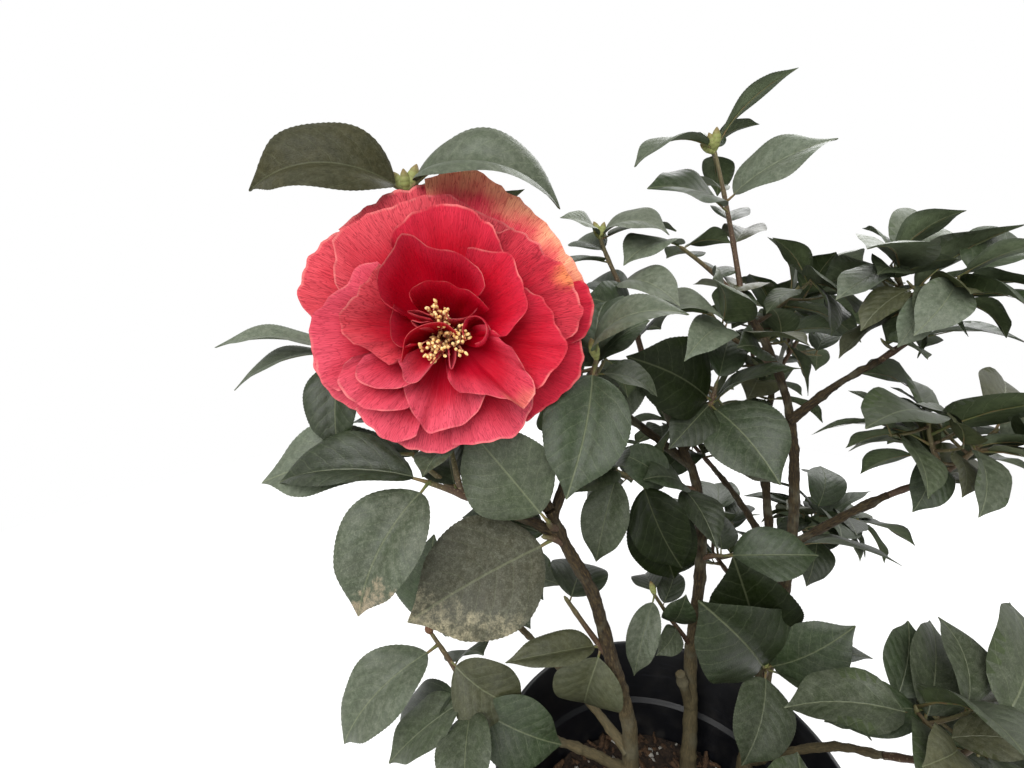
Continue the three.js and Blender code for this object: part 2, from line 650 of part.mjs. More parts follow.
foliage('upper_middle_foliage', {
  points: [point(-8, 85, 424), point(-22, 88, 465), point(-36, 92, 495), point(-41, 95, 508)],
  leaves: [
    leaf(0.08, 224, -45, 64, { turn: 0.7 }), leaf(0.3, 229, 20, 56, { turn: 0.7, breadth: 0.64 }),
    leaf(0.78, 239, 3, 52), leaf(0.6, 305, -10, 54, { arch: 100, turn: 0.3 }),
    leaf(0.66, 242, -24, 44, { turn: 0.4 }), leaf(1, 223, 25, 46, { arch: 90, turn: 0.3 }),
    leaf(0.98, 216, 0, 52, { arch: 70 }), leaf(0.97, 328, 2, 50, { arch: 100, turn: 0.2 }),
    leaf(0.95, 12, 12, 60, { turn: 0.2 }), leaf(0.5, 110, 10, 56), leaf(0.85, 130, 20, 50),
    leaf(0.2, 60, 0, 58),
    leaf(0.36, 330, 4, 60, { turn: 0.3, arch: 80 }),
  ],
  buds: [bud(1, 150, 65, 12), bud(1, 30, 75, 11)],
}, ['upper_left_bough']);

foliage('centre_foliage', {
  points: [point(34, 81, 397), point(37, 83, 406), point(39, 85, 415)],
  leaves: [
    leaf(0.3, 203, 27, 76, { turn: 0.9, breadth: 0.62, arch: 30 }),
    leaf(0.1, 320, 34, 62, { turn: 0.4 }), leaf(0.15, 296, -30, 68, { turn: 0.9, breadth: 0.74 }),
    leaf(0.5, 330, -50, 72, { turn: 0.8, breadth: 0.62 }), leaf(0.2, 220, -24, 58, { turn: 0.6 }),
    leaf(0.94, 60, 30, 50),
  ],
}, ['centre_bough']);

foliage('second_stem_foliage', {
  points: [point(29.5, 76, 341), point(8, 66, 350), point(-12, 58, 357), point(-33, 47, 369)],
  leaves: [
    leaf(0.16, 217, 23, 50, { turn: 0.3 }), leaf(0.2, 284, -26, 48, { turn: 0.6 }),
    leaf(0.68, 321, -58, 62, { turn: 0.85, breadth: 0.66 }),
    leaf(0.6, 345, -72, 74, { turn: 0.5, breadth: 0.6 }),
    leaf(1, 228, 4, 44, { turn: 0.3 }), leaf(0.95, 262, 28, 46, { turn: 0.5 }),
    leaf(0.94, 246, -70, 56, { turn: 0.8, breadth: 0.6 }), leaf(0.45, 110, 5, 46),
    leaf(0.36, 190, 34, 50, { turn: 0.5 }),
  ],
}, ['second_stem']);

foliage('second_stem_low_foliage', {
  points: [point(33, 66, 224), point(24, 63, 238), point(15, 60, 251), point(-1, 55, 277)],
  leaves: [
    leaf(0.5, 274, 64, 48, { turn: 0.7 }), leaf(0.4, 229, -7, 32, { turn: 0.6 }),
    leaf(0.97, 235, -52, 54, { turn: 0.6 }), leaf(1, 85, -15, 46), leaf(0.75, 60, 20, 40),
  ],
  buds: [bud(1, 130, 65, 10)],
  radius: 1.8,
}, ['second_stem']);

foliage('second_stem_spur', {
  points: [point(35.6, 71.5, 292), point(42, 67, 297), point(48, 62, 300)],
  leaves: [
    leaf(0.95, 342, 12, 58, { turn: 0.6, breadth: 0.62 }), leaf(0.8, 80, 10, 50),
  ],
}, ['second_stem']);

foliage('right_low_foliage', {
  points: [point(79, 50, 212), point(77, 46, 221), point(74, 42, 229)],
  leaves: [
    leaf(0.86, 193, 48, 88, { turn: 0.9, breadth: 0.76, arch: 24 }),
    leaf(0.96, 176, 70, 90, { turn: 0.9, breadth: 0.66, arch: 24 }),
    leaf(0.7, 233, -36, 62, { turn: 0.8, breadth: 0.68 }), leaf(0.98, 330, 50, 70, { turn: 0.5 }),
    leaf(0.8, 305, 0, 66), leaf(0.86, 350, 20, 66),
  ],
  buds: [bud(1, 200, 80, 10)],
}, ['right_stem']);

foliage('right_stem_spur', {
  points: [point(96, 73, 303), point(92, 63, 308), point(88, 56, 311)],
  leaves: [
    leaf(1, 232, -36, 60, { turn: 0.8, breadth: 0.62 }), leaf(0.9, 160, 30, 56, { turn: 0.5 }),
    leaf(0.8, 320, 10, 60),
  ],
}, ['right_stem']);

foliage('right_shoot_foliage', {
  points: [point(86, 99.5, 417), point(68, 98, 432), point(51, 95, 441), point(39, 91, 451)],
  leaves: [
    leaf(1, 238, 38, 56, { turn: 0.5, breadth: 0.8, fold: 28 }),
    leaf(0.8, 218, -10, 72, { turn: 0.5, arch: 80, breadth: 0.36 }),
    leaf(0.5, 20, 12, 60), leaf(0.28, 225, 16, 50, { turn: 0.6 }), leaf(0.9, 60, 30, 52),
    leaf(0.56, 285, 10, 56, { turn: 0.5 }),
  ],
}, ['right_stem']);

foliage('top_right_foliage', {
  points: [point(63, 114, 462), point(54, 121, 505), point(47, 124, 532), point(38, 129, 565)],
  leaves: [
    leaf(0.98, 196, -12, 66, { arch: 84, turn: 0.3, breadth: 0.5 }),
    leaf(1, 350, 50, 68, { arch: 40, breadth: 0.4 }),
    leaf(0.58, 196, 16, 64, { turn: 0.5, breadth: 0.6 }),
    leaf(0.64, 330, 34, 70, { turn: 0.3, breadth: 0.5 }),
    leaf(0.5, 60, 10, 56), leaf(0.96, 90, 35, 52), leaf(0.75, 130, 20, 56), leaf(0.36, 340, 14, 60),
  ],
  buds: [bud(1, 200, 60, 13), bud(1, 250, 80, 15), bud(0.95, 160, 30, 12)],
}, ['right_stem']);

foliage('upper_right_foliage', {
  points: [point(70, 109.5, 450), point(48, 107, 474), point(30, 103, 488), point(12, 100, 500)],
  leaves: [
    leaf(0.97, 214, -10, 58, { arch: 70, turn: 0.4 }), leaf(1, 40, 16, 56),
    leaf(0.62, 250, -62, 46, { turn: 0.6 }),
    leaf(0.8, 110, 5, 56), leaf(0.5, 80, 10, 50),
  ],
}, ['right_stem']);

// Foliage that the growth rule gives all through
const RULE = { sideTwigs: 2, leafLength: 68, bare: 0.2 };
const LEAFY_RULE = { ...RULE, sideTwigs: 3 };
const grownFoliage = (name, bough, seed, points, rule = RULE) => (
  foliage(name, { points, seed, rule }, [bough]));

grownFoliage('back_left_foliage', 'back_left_bough', 11, [
  point(-58, 112, 408), point(-100, 120, 432), point(-142, 112, 462),
], LEAFY_RULE);
grownFoliage('back_top_foliage', 'back_stem', 23, [
  point(102, 158, 370), point(98, 166, 420), point(84, 160, 470),
], LEAFY_RULE);
grownFoliage('back_upper_foliage', 'back_upper_bough', 37, [
  point(130, 186, 392), point(148, 200, 412), point(166, 206, 440),
]);
grownFoliage('back_middle_foliage', 'back_middle_bough', 41, [
  point(80, 172, 314), point(60, 190, 336), point(36, 196, 362),
]);
grownFoliage('back_outer_foliage', 'back_outer_bough', 53, [
  point(142, 122, 250), point(160, 134, 266), point(176, 140, 292),
]);
grownFoliage('back_low_foliage', 'back_low_bough', 59, [
  point(90, 140, 230), point(84, 166, 236), point(68, 186, 250),
]);
grownFoliage('left_back_foliage', 'left_back_bough', 67, [
  point(-92, 92, 222), point(-108, 112, 228), point(-118, 134, 240),
]);
grownFoliage('right_outer_foliage', 'right_outer_bough', 61, [
  point(140, 52, 350), point(162, 40, 372), point(176, 30, 402),
]);
grownFoliage('right_upper_foliage', 'right_upper_bough', 71, [
  point(132, 70, 432), point(146, 56, 456), point(150, 44, 486),
]);
grownFoliage('right_front_foliage', 'right_front_bough', 83, [
  point(108, -22, 232), point(118, -44, 256), point(126, -56, 290),
]);
grownFoliage('front_foliage', 'front_bough', 97, [
  point(8, -78, 217), point(6, -100, 228), point(-8, -118, 240),
]);

for (const mass of masses) addMesh(mass.name, dressed(mass), FOLIAGE);

export default group;
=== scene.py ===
# %% [markdown]
# # A camellia shrub in a black nursery pot
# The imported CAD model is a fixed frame: it says where each stem, bough, mass of leaves, the bloom
# and the pot are. This lesson dresses that frame. Round things are spun, stems are curves with a
# bark relief, and the many small things (leaves, petals, stamens) are meshes made from arrays.
# The frame is in metres, and lengths in this file are in millimetres wherever MM turns them.

# %% Load the frame
import json
import math

import bpy
import numpy as np
from mathutils.bvhtree import BVHTree
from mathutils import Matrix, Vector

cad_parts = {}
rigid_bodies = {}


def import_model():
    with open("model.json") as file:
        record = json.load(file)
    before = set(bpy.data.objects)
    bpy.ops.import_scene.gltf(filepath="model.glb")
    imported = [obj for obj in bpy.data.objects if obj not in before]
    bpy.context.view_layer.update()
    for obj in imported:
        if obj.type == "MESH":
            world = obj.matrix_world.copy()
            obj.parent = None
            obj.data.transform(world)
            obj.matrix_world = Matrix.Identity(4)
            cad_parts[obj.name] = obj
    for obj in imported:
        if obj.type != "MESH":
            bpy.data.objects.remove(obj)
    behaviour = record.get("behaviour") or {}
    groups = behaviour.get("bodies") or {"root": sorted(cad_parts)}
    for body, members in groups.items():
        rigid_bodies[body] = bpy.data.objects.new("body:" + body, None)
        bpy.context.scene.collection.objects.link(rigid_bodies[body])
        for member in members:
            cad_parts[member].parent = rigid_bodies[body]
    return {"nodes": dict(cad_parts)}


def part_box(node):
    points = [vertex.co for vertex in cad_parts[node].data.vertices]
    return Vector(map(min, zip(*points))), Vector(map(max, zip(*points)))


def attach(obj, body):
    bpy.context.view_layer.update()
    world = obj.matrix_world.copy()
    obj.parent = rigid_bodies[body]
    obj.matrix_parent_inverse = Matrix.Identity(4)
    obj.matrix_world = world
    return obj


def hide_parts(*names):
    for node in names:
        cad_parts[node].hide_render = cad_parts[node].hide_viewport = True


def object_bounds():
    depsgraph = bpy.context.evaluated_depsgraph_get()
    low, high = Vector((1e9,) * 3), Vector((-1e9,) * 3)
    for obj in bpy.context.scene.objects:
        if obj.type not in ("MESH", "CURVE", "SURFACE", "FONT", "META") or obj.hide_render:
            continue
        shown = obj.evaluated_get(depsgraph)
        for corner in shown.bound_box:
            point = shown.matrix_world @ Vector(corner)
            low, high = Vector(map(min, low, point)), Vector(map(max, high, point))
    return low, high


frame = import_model()
CAD_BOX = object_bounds()
MM = 0.001
UP = np.array([0.0, 0.0, 1.0])
rng = np.random.default_rng(7)
print("nodes in the frame:", len(frame["nodes"]))
print("box in metres:", [tuple(round(x, 3) for x in corner) for corner in CAD_BOX])

# %% [markdown]
# ## The camera
# The photograph looks down on the plant a little, from close by and with a wide view, so near
# leaves look large and the pot small. Blender's camera looks along its own -Z: turned 75 degrees
# about X, it looks along +Y and 15 degrees down.

# %% Camera
CAMERA_PLACE, CAMERA_TURN = (-0.095, -0.240, 0.500), 75
LENS, SENSOR, NEAREST_SEEN = 18.07, 36, 0.01
bpy.ops.object.camera_add(location=CAMERA_PLACE, rotation=(math.radians(CAMERA_TURN), 0, 0))
camera = bpy.context.object
camera.data.lens, camera.data.sensor_width = LENS, SENSOR
camera.data.clip_start = NEAREST_SEEN
bpy.context.scene.camera = camera
bpy.context.scene.view_settings.view_transform = "Standard"
print("camera lens", camera.data.lens, "mm")

# %% [markdown]
# ## Round pieces
# A potter's wheel is the plain way to a round piece: one vertex is extruded along the outline, and
# the outline is spun about Z. Spin leaves a doubled seam and can turn the faces inwards, so the
# doubles are merged first and the normals recalculated after. Everything is deselected before,
# because operators act on all that is selected.

# %% Spin an outline
def start_alone():
    """Nothing is selected, so that the next operator works on the new piece alone."""
    if bpy.context.object and bpy.context.object.mode != "OBJECT":
        bpy.ops.object.mode_set(mode="OBJECT")
    bpy.ops.object.select_all(action="DESELECT")


def spun(name, outline, steps):
    """A round piece from its outline of (radius, height) in millimetres."""
    start_alone()
    bpy.ops.mesh.primitive_circle_add(vertices=3, radius=1e-5)
    bpy.ops.object.mode_set(mode="EDIT")
    bpy.ops.mesh.select_mode(type="VERT")
    bpy.ops.mesh.merge(type="CENTER")
    radius, height = outline[0]
    bpy.ops.transform.translate(value=(radius * MM, 0, height * MM))
    for (r0, z0), (r1, z1) in zip(outline, outline[1:]):
        step = ((r1 - r0) * MM, 0, (z1 - z0) * MM)
        bpy.ops.mesh.extrude_vertices_move(TRANSFORM_OT_translate={"value": step})
    bpy.ops.mesh.select_all(action="SELECT")
    bpy.ops.mesh.spin(steps=steps, angle=2 * math.pi, center=(0, 0, 0), axis=(0, 0, 1))
    bpy.ops.mesh.select_all(action="SELECT")
    bpy.ops.mesh.remove_doubles(threshold=1e-6)
    bpy.ops.mesh.normals_make_consistent(inside=False)
    bpy.ops.object.mode_set(mode="OBJECT")
    piece = bpy.context.object
    piece.name = piece.data.name = name
    return piece

# %% [markdown]
# Small helpers serve every piece: one picks pieces for an operator, one adds a modifier and applies
# it, one shades a piece smooth, one gives it its finish, and the last tells the frame which body it
# moves with and which nodes it replaces.

# %% Modify, shade and dress
def pick(*pieces):
    """These pieces are selected and nothing else is, and the first one is active."""
    start_alone()
    for piece in pieces:
        piece.select_set(True)
    bpy.context.view_layer.objects.active = pieces[0]


def finish_with(piece, kind, **settings):
    """Adds a modifier and applies it."""
    pick(piece)
    modifier = piece.modifiers.new(kind.title(), kind)
    for setting, value in settings.items():
        setattr(modifier, setting, value)
    bpy.ops.object.modifier_apply(modifier=modifier.name)


def shade(piece, angle):
    """Smooth shading, except across edges that are sharper than an angle in degrees."""
    pick(piece)
    bpy.ops.object.shade_smooth_by_angle(angle=math.radians(angle))


def wear(piece, look):
    """One finish all over a piece."""
    piece.data.materials.clear()
    piece.data.materials.append(look)


def dress(piece, slot, *nodes):
    """Hands a piece to the frame: its body and the nodes that it replaces. The slot is not used."""
    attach(piece, "root")
    if nodes:
        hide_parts(*nodes)

# %% [markdown]
# ## Shader maths
# A material is a graph of nodes. Wire wraps one socket, so a sum or a product of two wires adds a
# Math node by itself, and Look.node adds any other node: its settings first, then its sockets.
# A number that is the same all over a surface stays on the shader's own socket.

# %% Wires and looks
class Wire:
    """One output of a node, which can be added, multiplied and so on."""

    def __init__(self, look, socket):
        self.look = look
        self.socket = socket

    def maths(self, operation, *others):
        return self.look.node("Math", {"operation": operation}, [self, *others])

    def __add__(self, other):
        return self.maths("ADD", other)

    def __sub__(self, other):
        return self.maths("SUBTRACT", other)

    def __rsub__(self, other):
        return self.look.node("Math", {"operation": "SUBTRACT"}, [other, self])

    def __mul__(self, other):
        return self.maths("MULTIPLY", other)

    def __pow__(self, other):
        return self.maths("POWER", other)

    def __abs__(self):
        return self.maths("ABSOLUTE")

    def above(self, low, high):
        """0 below low, 1 above high, and smooth between them."""
        return self.look.node("MapRange", {"interpolation_type": "SMOOTHSTEP"}, {
            "Value": self, "From Min": low, "From Max": high,
        })

    __radd__ = __add__
    __rmul__ = __mul__


class Look:
    """A material in the making."""

    def __init__(self, name, **plain):
        self.material = bpy.data.materials.new(name)
        self.material.use_nodes = True
        self.tree = self.material.node_tree
        self.shader = self.tree.nodes["Principled BSDF"]
        for socket, value in plain.items():
            self.shader.inputs[socket.replace("_", " ")].default_value = value

    def node(self, kind, settings=None, sockets=(), output=0):
        made = self.tree.nodes.new("ShaderNode" + kind)
        for setting, value in (settings or {}).items():
            if setting == "stops":
                self.set_stops(made.color_ramp, value)
            else:
                setattr(made, setting, value)
        named = sockets.items() if isinstance(sockets, dict) else enumerate(sockets)
        for key, value in named:
            self.fill(made.inputs[key], value)
        return Wire(self, made.outputs[output])

    def set_stops(self, ramp, stops):
        for element, (place, _) in zip(ramp.elements, (stops[0], stops[-1])):
            element.position = place
        for place, _ in stops[1:-1]:
            ramp.elements.new(place)
        for element, (_, tone) in zip(ramp.elements, stops):
            element.color = tone

    def fill(self, socket, value):
        if isinstance(value, Wire):
            self.tree.links.new(value.socket, socket)
        else:
            socket.default_value = value

    def set(self, **sockets):
        for name, value in sockets.items():
            self.fill(self.shader.inputs[name.replace("_", " ")], value)
        return self.material

    def mix(self, share, first, second, blend="MIX"):
        settings = {"data_type": "RGBA", "blend_type": blend}
        return self.node("Mix", settings, {0: share, 6: first, 7: second}, output=2)

    def place(self):
        return self.node("TexCoord", output="Object")

    def mark(self, name):
        """The three numbers that a mesh attribute holds at each point."""
        vector = self.node("Attribute", {"attribute_name": name}, output="Vector")
        parts = [self.node("SeparateXYZ", None, [vector], output=k) for k in range(3)]
        return vector, *parts

    def noise(self, vector, scale, detail=3.0, roughness=0.5, distortion=0.0):
        return self.node("TexNoise", None, {
            "Vector": vector, "Scale": scale, "Detail": detail, "Roughness": roughness,
            "Distortion": distortion,
        })

    def stretch(self, vector, scale):
        return self.node("Mapping", None, {"Vector": vector, "Scale": scale})

    def bump(self, height, strength, distance):
        return self.node("Bump", None, {
            "Strength": strength, "Distance": distance * MM, "Height": height,
        })


def paint(red, green, blue):
    """A colour given as the 0 to 255 that a screen shows."""
    shown = (channel / 255 for channel in (red, green, blue))
    return (*(c / 12.92 if c <= 0.04045 else ((c + 0.055) / 1.055) ** 2.4 for c in shown), 1.0)

# %% [markdown]
# ## Floor and light
# A studio floor for a product shot is plain and pale, so that nothing competes with the plant and
# soft light comes back up from it. The floor is one wide disc with a rounded rim. The light is a
# pale sky and two large lamps. The stronger one stands in front at the upper left, so that leaves
# which face it shine, and the other lights the back. The camera sees the sky itself as white.

# %% Floor and lamps
FLOOR_OUTLINE = [(0, 0), (600, 0), (1150, 0), (1190, -3), (1206, -14), (1210, -30)]
floor = spun("floor", FLOOR_OUTLINE, 96)
finish_with(floor, "SUBSURF", levels=2, render_levels=2)
shade(floor, 60)
floor_look = Look("pale_floor", Roughness=0.9)
drift = floor_look.noise(floor_look.place(), 3.0, detail=2.0)
wear(floor, floor_look.set(
    Base_Color=floor_look.mix(drift, paint(240, 240, 240), paint(247, 247, 247))))

world = bpy.data.worlds.new("white_sky")
world.use_nodes = True
sky = world.node_tree
dim = sky.nodes["Background"]
bright = sky.nodes.new("ShaderNodeBackground")
for shown, strength in ((dim, 0.7), (bright, 1.0)):
    shown.inputs["Color"].default_value = (1.0, 1.0, 1.0, 1.0)
    shown.inputs["Strength"].default_value = strength
chosen = sky.nodes.new("ShaderNodeMixShader")
sky.links.new(sky.nodes.new("ShaderNodeLightPath").outputs["Is Camera Ray"], chosen.inputs[0])
sky.links.new(dim.outputs[0], chosen.inputs[1])
sky.links.new(bright.outputs[0], chosen.inputs[2])
sky.links.new(chosen.outputs[0], sky.nodes["World Output"].inputs["Surface"])
bpy.context.scene.world = world


def soft_lamp(name, place, size, power):
    start_alone()
    bpy.ops.object.light_add(type="AREA", location=place)
    lamp = bpy.context.object
    lamp.name = name
    lamp.data.shape = "DISK"
    lamp.data.size = size
    lamp.data.energy = power
    away = lamp.location - CAD_BOX[0].lerp(CAD_BOX[1], 0.5)
    lamp.rotation_euler = away.to_track_quat("Z", "Y").to_euler()


soft_lamp("key_lamp", (-0.7, -1.5, 1.8), 1.9, 58)
soft_lamp("fill_lamp", (1.1, 1.5, 1.9), 1.8, 40)
print("floor radius", FLOOR_OUTLINE[-1][0], "mm, 2 lamps")

# %% [markdown]
# ## The pot
# A nursery pot is moulded in thin black plastic: a tapered wall, a wider band under a rolled lip,
# a step inside at the band's foot and drain holes round the base. The wall is spun from its
# outline, a bevel rounds the moulded edges, and a boolean with eight small blocks cuts the holes.

# %% Pot
POT_HEIGHT, RIM_RADIUS, FOOT_RADIUS = 195, 105, 78
POT_WALL, RIM_BAND, LEDGE_DROP, SOIL_TOP = 2.6, 27, 48, 120
DRAIN_HOLES, HOLE_SIZE, HOLE_HEIGHT = 8, (16, 16, 10), 7


def wall_at(z):
    return FOOT_RADIUS + (RIM_RADIUS - 3 - FOOT_RADIUS) * z / POT_HEIGHT


LEDGE = POT_HEIGHT - LEDGE_DROP
BAND_FOOT = POT_HEIGHT - RIM_BAND
POT_OUTLINE = [
    (0, 0.6), (FOOT_RADIUS - 9, 0.6), (FOOT_RADIUS - 7.5, 0), (FOOT_RADIUS - 3, 0),
    (FOOT_RADIUS, 3), (wall_at(LEDGE - 2), LEDGE - 2), (wall_at(LEDGE) + 2, LEDGE),
    (wall_at(BAND_FOOT) + 1, BAND_FOOT), (RIM_RADIUS - 2, BAND_FOOT + 2),
    (RIM_RADIUS - 0.8, POT_HEIGHT - 4.4), (RIM_RADIUS, POT_HEIGHT - 3.4),
    (RIM_RADIUS, POT_HEIGHT - 1.2), (RIM_RADIUS - 1, POT_HEIGHT), (RIM_RADIUS - 3, POT_HEIGHT),
    (RIM_RADIUS - 4, POT_HEIGHT - 1.5), (wall_at(LEDGE) + 2 - POT_WALL, LEDGE + 2),
    (wall_at(LEDGE) - POT_WALL - 0.6, LEDGE - 1), (FOOT_RADIUS - POT_WALL, 4),
    (FOOT_RADIUS - POT_WALL - 3, 3), (0, 3),
]
pot = spun("pot_shell", POT_OUTLINE, 112)

start_alone()
for hole in range(DRAIN_HOLES):
    turn = hole * 2 * math.pi / DRAIN_HOLES
    middle = (FOOT_RADIUS * math.cos(turn), FOOT_RADIUS * math.sin(turn), HOLE_HEIGHT)
    bpy.ops.mesh.primitive_cube_add(size=1, location=[MM * c for c in middle],
                                    rotation=(0, 0, turn), scale=[MM * c for c in HOLE_SIZE])
    bpy.context.object.name = "hole_cutter"
cutters = [o for o in bpy.context.scene.objects if o.name.startswith("hole_cutter")]
pick(*cutters)
bpy.ops.object.join()
bpy.ops.object.transform_apply(location=True, rotation=True, scale=True)
cutter = bpy.context.object
finish_with(cutter, "BEVEL", width=2 * MM, segments=3)
finish_with(pot, "BOOLEAN", operation="DIFFERENCE", solver="EXACT", object=cutter)
bpy.data.objects.remove(cutter)
finish_with(pot, "BEVEL", width=0.35 * MM, segments=2, angle_limit=math.radians(28))
shade(pot, 50)
print("pot faces:", len(pot.data.polygons))

# %% [markdown]
# Black plastic is not pure black: it has a cool grey sheen, fine scratches from handling, and a
# film of dust and dried splashes where soil has touched it. The scratches are a noise stretched
# round the wall, and the dust gathers on a coarse noise and towards the foot and the soil line.

# %% Pot finish
plastic = Look("black_plastic", Specular_IOR_Level=0.5)
where = plastic.place()
height = plastic.node("SeparateXYZ", None, [where], output=2)
scratches = plastic.noise(plastic.stretch(where, (30, 30, 900)), 1.6, detail=5.0).above(0.56, 0.7)
film = plastic.noise(where, 44, detail=7.0, roughness=0.7).above(0.42, 0.85)
grain = plastic.noise(where, 1400, detail=2.0)
splash = (1.0 - height.above(0.1, 0.15)) * plastic.noise(where, 90, detail=4.0).above(0.45, 0.62)
dust = film * 0.5 + splash * 0.5
cool_black = plastic.mix(scratches * 0.5, paint(11, 12, 17), paint(30, 33, 42))
wear(pot, plastic.set(
    Base_Color=plastic.mix(dust * 0.22, cool_black, paint(104, 98, 88)),
    Roughness=0.42 + dust * 0.3 + scratches * 0.1,
    Normal=plastic.bump(grain * 0.25 + scratches * 0.2 + film * 0.3, 0.35, 0.25),
))
dress(pot, "black_plastic", "pot")
print("pot material:", len(plastic.tree.nodes), "nodes")

# %% [markdown]
# ## The soil
# Potting mix is crumbly: lumps of peat, chips of bark and white grains of perlite, and it sinks a
# little towards the wall. A spun body fills the pot, a displacement raises its lumps, and chips
# and grains are strewn over it as one mesh.

# %% Soil body
def points_of(mesh):
    """A mesh's points, in millimetres."""
    flat = np.empty(len(mesh.vertices) * 3)
    mesh.vertices.foreach_get("co", flat)
    return flat.reshape(-1, 3) / MM


SOIL_GAP = 1.2  # between the soil and the wall
SURFACE_RINGS = 44
INSIDE = wall_at(SOIL_TOP) - POT_WALL - SOIL_GAP
soil_rings = [(INSIDE * (1 - k / SURFACE_RINGS), SOIL_TOP) for k in range(1, SURFACE_RINGS + 1)]
SOIL_OUTLINE = [
    (0, 3.4), (FOOT_RADIUS - POT_WALL - 3.5, 3.4), (wall_at(8) - POT_WALL - SOIL_GAP, 8),
    (wall_at(SOIL_TOP - 4) - POT_WALL - SOIL_GAP, SOIL_TOP - 4), *soil_rings,
]
soil = spun("soil_body", SOIL_OUTLINE, 140)
on_top = np.flatnonzero(points_of(soil.data)[:, 2] > SOIL_TOP - 1)
surface = soil.vertex_groups.new(name="surface")
surface.add(on_top.tolist(), 1.0, "REPLACE")
for size, depth in ((0.017, 5.5), (0.006, 3.4), (0.0024, 1.5)):  # size in metres, depth in mm
    lumps = bpy.data.textures.new("lumps", "CLOUDS")
    lumps.noise_scale = size
    lumps.noise_depth = 2
    finish_with(soil, "DISPLACE", texture=lumps, strength=depth * MM, direction="Z",
                mid_level=0.5, vertex_group="surface")
shade(soil, 60)
print("soil faces:", len(soil.data.polygons))

# %% [markdown]
# Many small things of one kind make one mesh. Heap gathers their points and four-sided faces, with
# three numbers for each point that the materials read, and makes the piece at the end.

# %% Heaps
def marks_of(*three):
    """Three marks for each point of a grid, from numbers or arrays that fit the grid."""
    return np.stack(np.broadcast_arrays(*three), -1)


def marks_at_points(mesh, title, numbers):
    held = mesh.attributes.new(title, "FLOAT_VECTOR", "POINT")
    held.data.foreach_set("vector", numbers.astype(np.float32).ravel())


THIN_RIM = 100  # degrees: the rim of a leaf or petal stays crisp, and a rod's sides are smooth


class Heap:
    """Small shapes that become one mesh, with marks and perhaps a tint at each point."""

    def __init__(self):
        self.points, self.faces, self.marks, self.looks, self.tints = [], [], [], [], []
        self.count = 0

    def add(self, points, faces, marks, look=0, tint=None):
        self.points.append(points)
        self.faces.append(faces + self.count)
        self.marks.append(np.broadcast_to(marks, points.shape))
        self.looks.append(np.broadcast_to(look, len(faces)))
        if tint is not None:
            self.tints.append(np.broadcast_to(tint, points.shape))
        self.count += len(points)

    def piece(self, name, mark, materials, slot, *nodes):
        mesh = bpy.data.meshes.new(name)
        faces = np.concatenate(self.faces)
        mesh.from_pydata((np.concatenate(self.points) * MM).tolist(), [], faces.tolist())
        for material in materials:
            mesh.materials.append(material)
        mesh.polygons.foreach_set("material_index", np.concatenate(self.looks).astype(np.int32))
        for title, held in ((mark, self.marks), ("tint", self.tints)):
            if held:
                marks_at_points(mesh, title, np.concatenate(held))
        piece = bpy.data.objects.new(name, mesh)
        bpy.context.scene.collection.objects.link(piece)
        shade(piece, THIN_RIM)
        dress(piece, slot, *nodes)
        print(name, "has", 2 * len(faces), "triangles")
        return piece

# %% [markdown]
# A rod is a closed round bar along a path. Its rings are carried on from one to the next, so that
# the bar doesn't twist, and its two ends are closed by strips of four-sided faces.

# %% Rods
def unit(vector):
    return vector / np.linalg.norm(vector)


def square_to(direction, hint):
    """The unit vector at right angles to a direction that is nearest to the hint."""
    return unit(hint - direction * (hint @ direction))


def quads_of(grid):
    """Four-sided faces between the neighbours in a grid of point numbers."""
    corners = [grid[:-1, :-1], grid[:-1, 1:], grid[1:, 1:], grid[1:, :-1]]
    return np.stack(corners, -1).reshape(-1, 4)


def rod(path, radii, sides):
    """Points and faces of a closed round bar, with an even number of sides."""
    path = np.asarray(path, float)
    ways = np.gradient(path, axis=0)
    round_ = np.arange(sides) * 2 * math.pi / sides
    side = np.cross(unit(ways[0]), [0.31, 0.52, 0.79])
    rings = []
    for place, way, radius in zip(path, ways, radii):
        way = unit(way)
        side = square_to(way, side)
        spokes = np.outer(np.cos(round_), side) + np.outer(np.sin(round_), np.cross(way, side))
        rings.append(place + radius * spokes)
    grid = np.arange(len(path) * sides).reshape(len(path), sides)
    walls = quads_of(np.column_stack([grid, grid[:, 0]]))
    strips = np.array([(k, k + 1, sides - 2 - k, sides - 1 - k) for k in range(sides // 2 - 1)])
    faces = np.concatenate([walls, grid[0][strips][:, ::-1], grid[-1][strips]])
    return np.concatenate(rings), faces


def random_turn():
    return unit(rng.normal(size=3))

# %% [markdown]
# Chips of bark lie flat, crumbs of peat are stubby and grains of perlite are pale. All three are
# rods with ragged rings, strewn evenly over the disc: the root of an even draw gives the radius.

# %% Chips, crumbs and perlite on the soil
def strew(heap, count, length, thick, look):
    for _ in range(count):
        far = INSIDE * math.sqrt(rng.uniform(0.0004, 0.94))
        turn = rng.uniform(0, 2 * math.pi)
        height = SOIL_TOP + rng.uniform(-1.2, 1.8)
        middle = np.array([far * math.cos(turn), far * math.sin(turn), height])
        size = rng.uniform(*length)
        way = unit(random_turn() * (1, 1, 0.35))
        width = size * rng.uniform(*thick)
        path = middle + np.outer(np.linspace(-0.5, 0.5, 4), way * size)
        path += rng.normal(size=(4, 3)) * size * 0.05
        points, faces = rod(path, width * np.array([0.55, 1.0, 0.9, 0.5]), 6)
        points += rng.normal(size=points.shape) * width * 0.16
        heap.add(points, faces, [rng.uniform(), 0, 0], look)


litter = Heap()
strew(litter, 520, (3, 11), (0.12, 0.3), 0)
strew(litter, 420, (1.5, 4), (0.3, 0.55), 1)
strew(litter, 170, (1.6, 4.2), (0.4, 0.6), 2)


